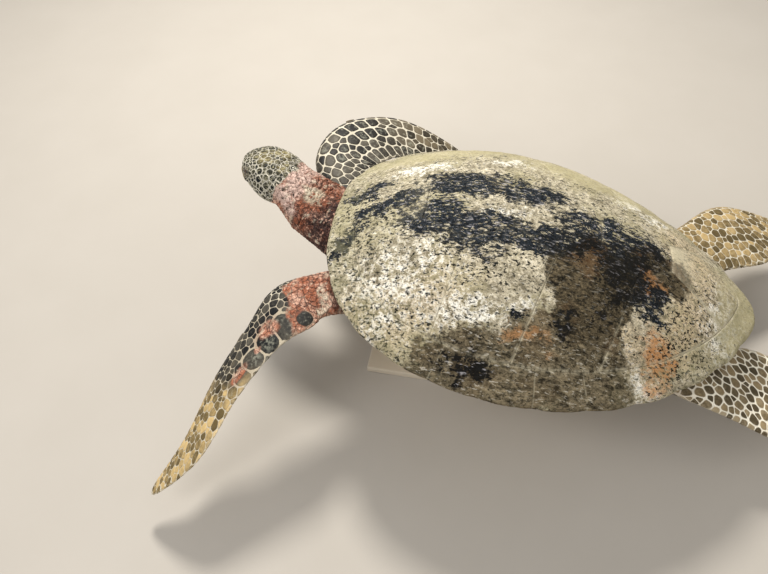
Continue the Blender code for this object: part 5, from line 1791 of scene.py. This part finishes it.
CAMERA_FROM = math.radians(86.81)
CAMERA_ABOVE = math.radians(46.56)
CAMERA_AWAY = 1.589
CAMERA_AIM = (0.115, -0.259, 0.0)  # from the shell's middle
CAMERA_ROLL = math.radians(-0.71)
SENSOR, FOCAL_LENGTH = 36.0, 32.8125  # mm

shell_middle = Vector(BODY_PLACE)
aim = shell_middle + Vector(CAMERA_AIM)
away = Vector((
    math.sin(CAMERA_FROM) * math.cos(CAMERA_ABOVE),
    -math.cos(CAMERA_FROM) * math.cos(CAMERA_ABOVE),
    math.sin(CAMERA_ABOVE),
))
lens = bpy.data.cameras.new("camera")
lens.sensor_width = SENSOR
lens.lens = FOCAL_LENGTH
camera = bpy.data.objects.new("camera", lens)
bpy.context.collection.objects.link(camera)
camera.location = shell_middle + away * CAMERA_AWAY
looking = (aim - camera.location).to_track_quat("-Z", "Y")
camera.rotation_mode = "QUATERNION"
camera.rotation_quaternion = looking @ Matrix.Rotation(CAMERA_ROLL, 3, "Z").to_quaternion()
bpy.context.scene.camera = camera

material, paint, inputs, ground = begin("pale_floor", level=False)
grain = paint.noise(ground, 5.0, 5.0, 0.55)
warm = grain.between((0.42, 0.385, 0.335), (0.455, 0.42, 0.37))
join(paint, inputs, warm, None, paint.noise(ground, 300.0, 3.0), 0.0005, 0.2)
inputs["Roughness"].default_value = 0.85
FLOOR_HALF = 9.0
mesh = bpy.data.meshes.new("floor")
corners = [(x * FLOOR_HALF, y * FLOOR_HALF, 0) for x, y in ((-1, -1), (1, -1), (1, 1), (-1, 1))]
mesh.from_pydata(corners, [], [(0, 1, 2, 3)])
mesh.materials.append(material)
floor = bpy.data.objects.new("floor", mesh)
bpy.context.collection.objects.link(floor)

# Lamps: (name, place, width, power, colour)
LAMPS = [
    ("key", (-1.9, -1.0, 3.0), 0.7, 149.0, (1.0, 0.97, 0.92)),
    ("fill", (2.4, -1.6, 2.6), 2.4, 72.0, (0.98, 0.98, 1.0)),
    ("back", (0.2, 3.0, 2.2), 2.0, 22.0, (1.0, 0.98, 0.95)),
]
for name, place, width, power, colour in LAMPS:
    lamp = bpy.data.lights.new(name, "AREA")
    lamp.shape, lamp.size, lamp.energy, lamp.color = "DISK", width, power, colour
    holder = bpy.data.objects.new(name, lamp)
    holder.location = place
    holder.rotation_euler = (shell_middle - Vector(place)).to_track_quat("-Z", "Y").to_euler()
    bpy.context.collection.objects.link(holder)
world = bpy.data.worlds.new("studio")
world.use_nodes = True
sky = world.node_tree.nodes["Background"].inputs
sky["Color"].default_value = (1.0, 0.98, 0.95, 1.0)
sky["Strength"].default_value = 0.42
bpy.context.scene.world = world
bpy.context.scene.view_settings.view_transform = "Standard"
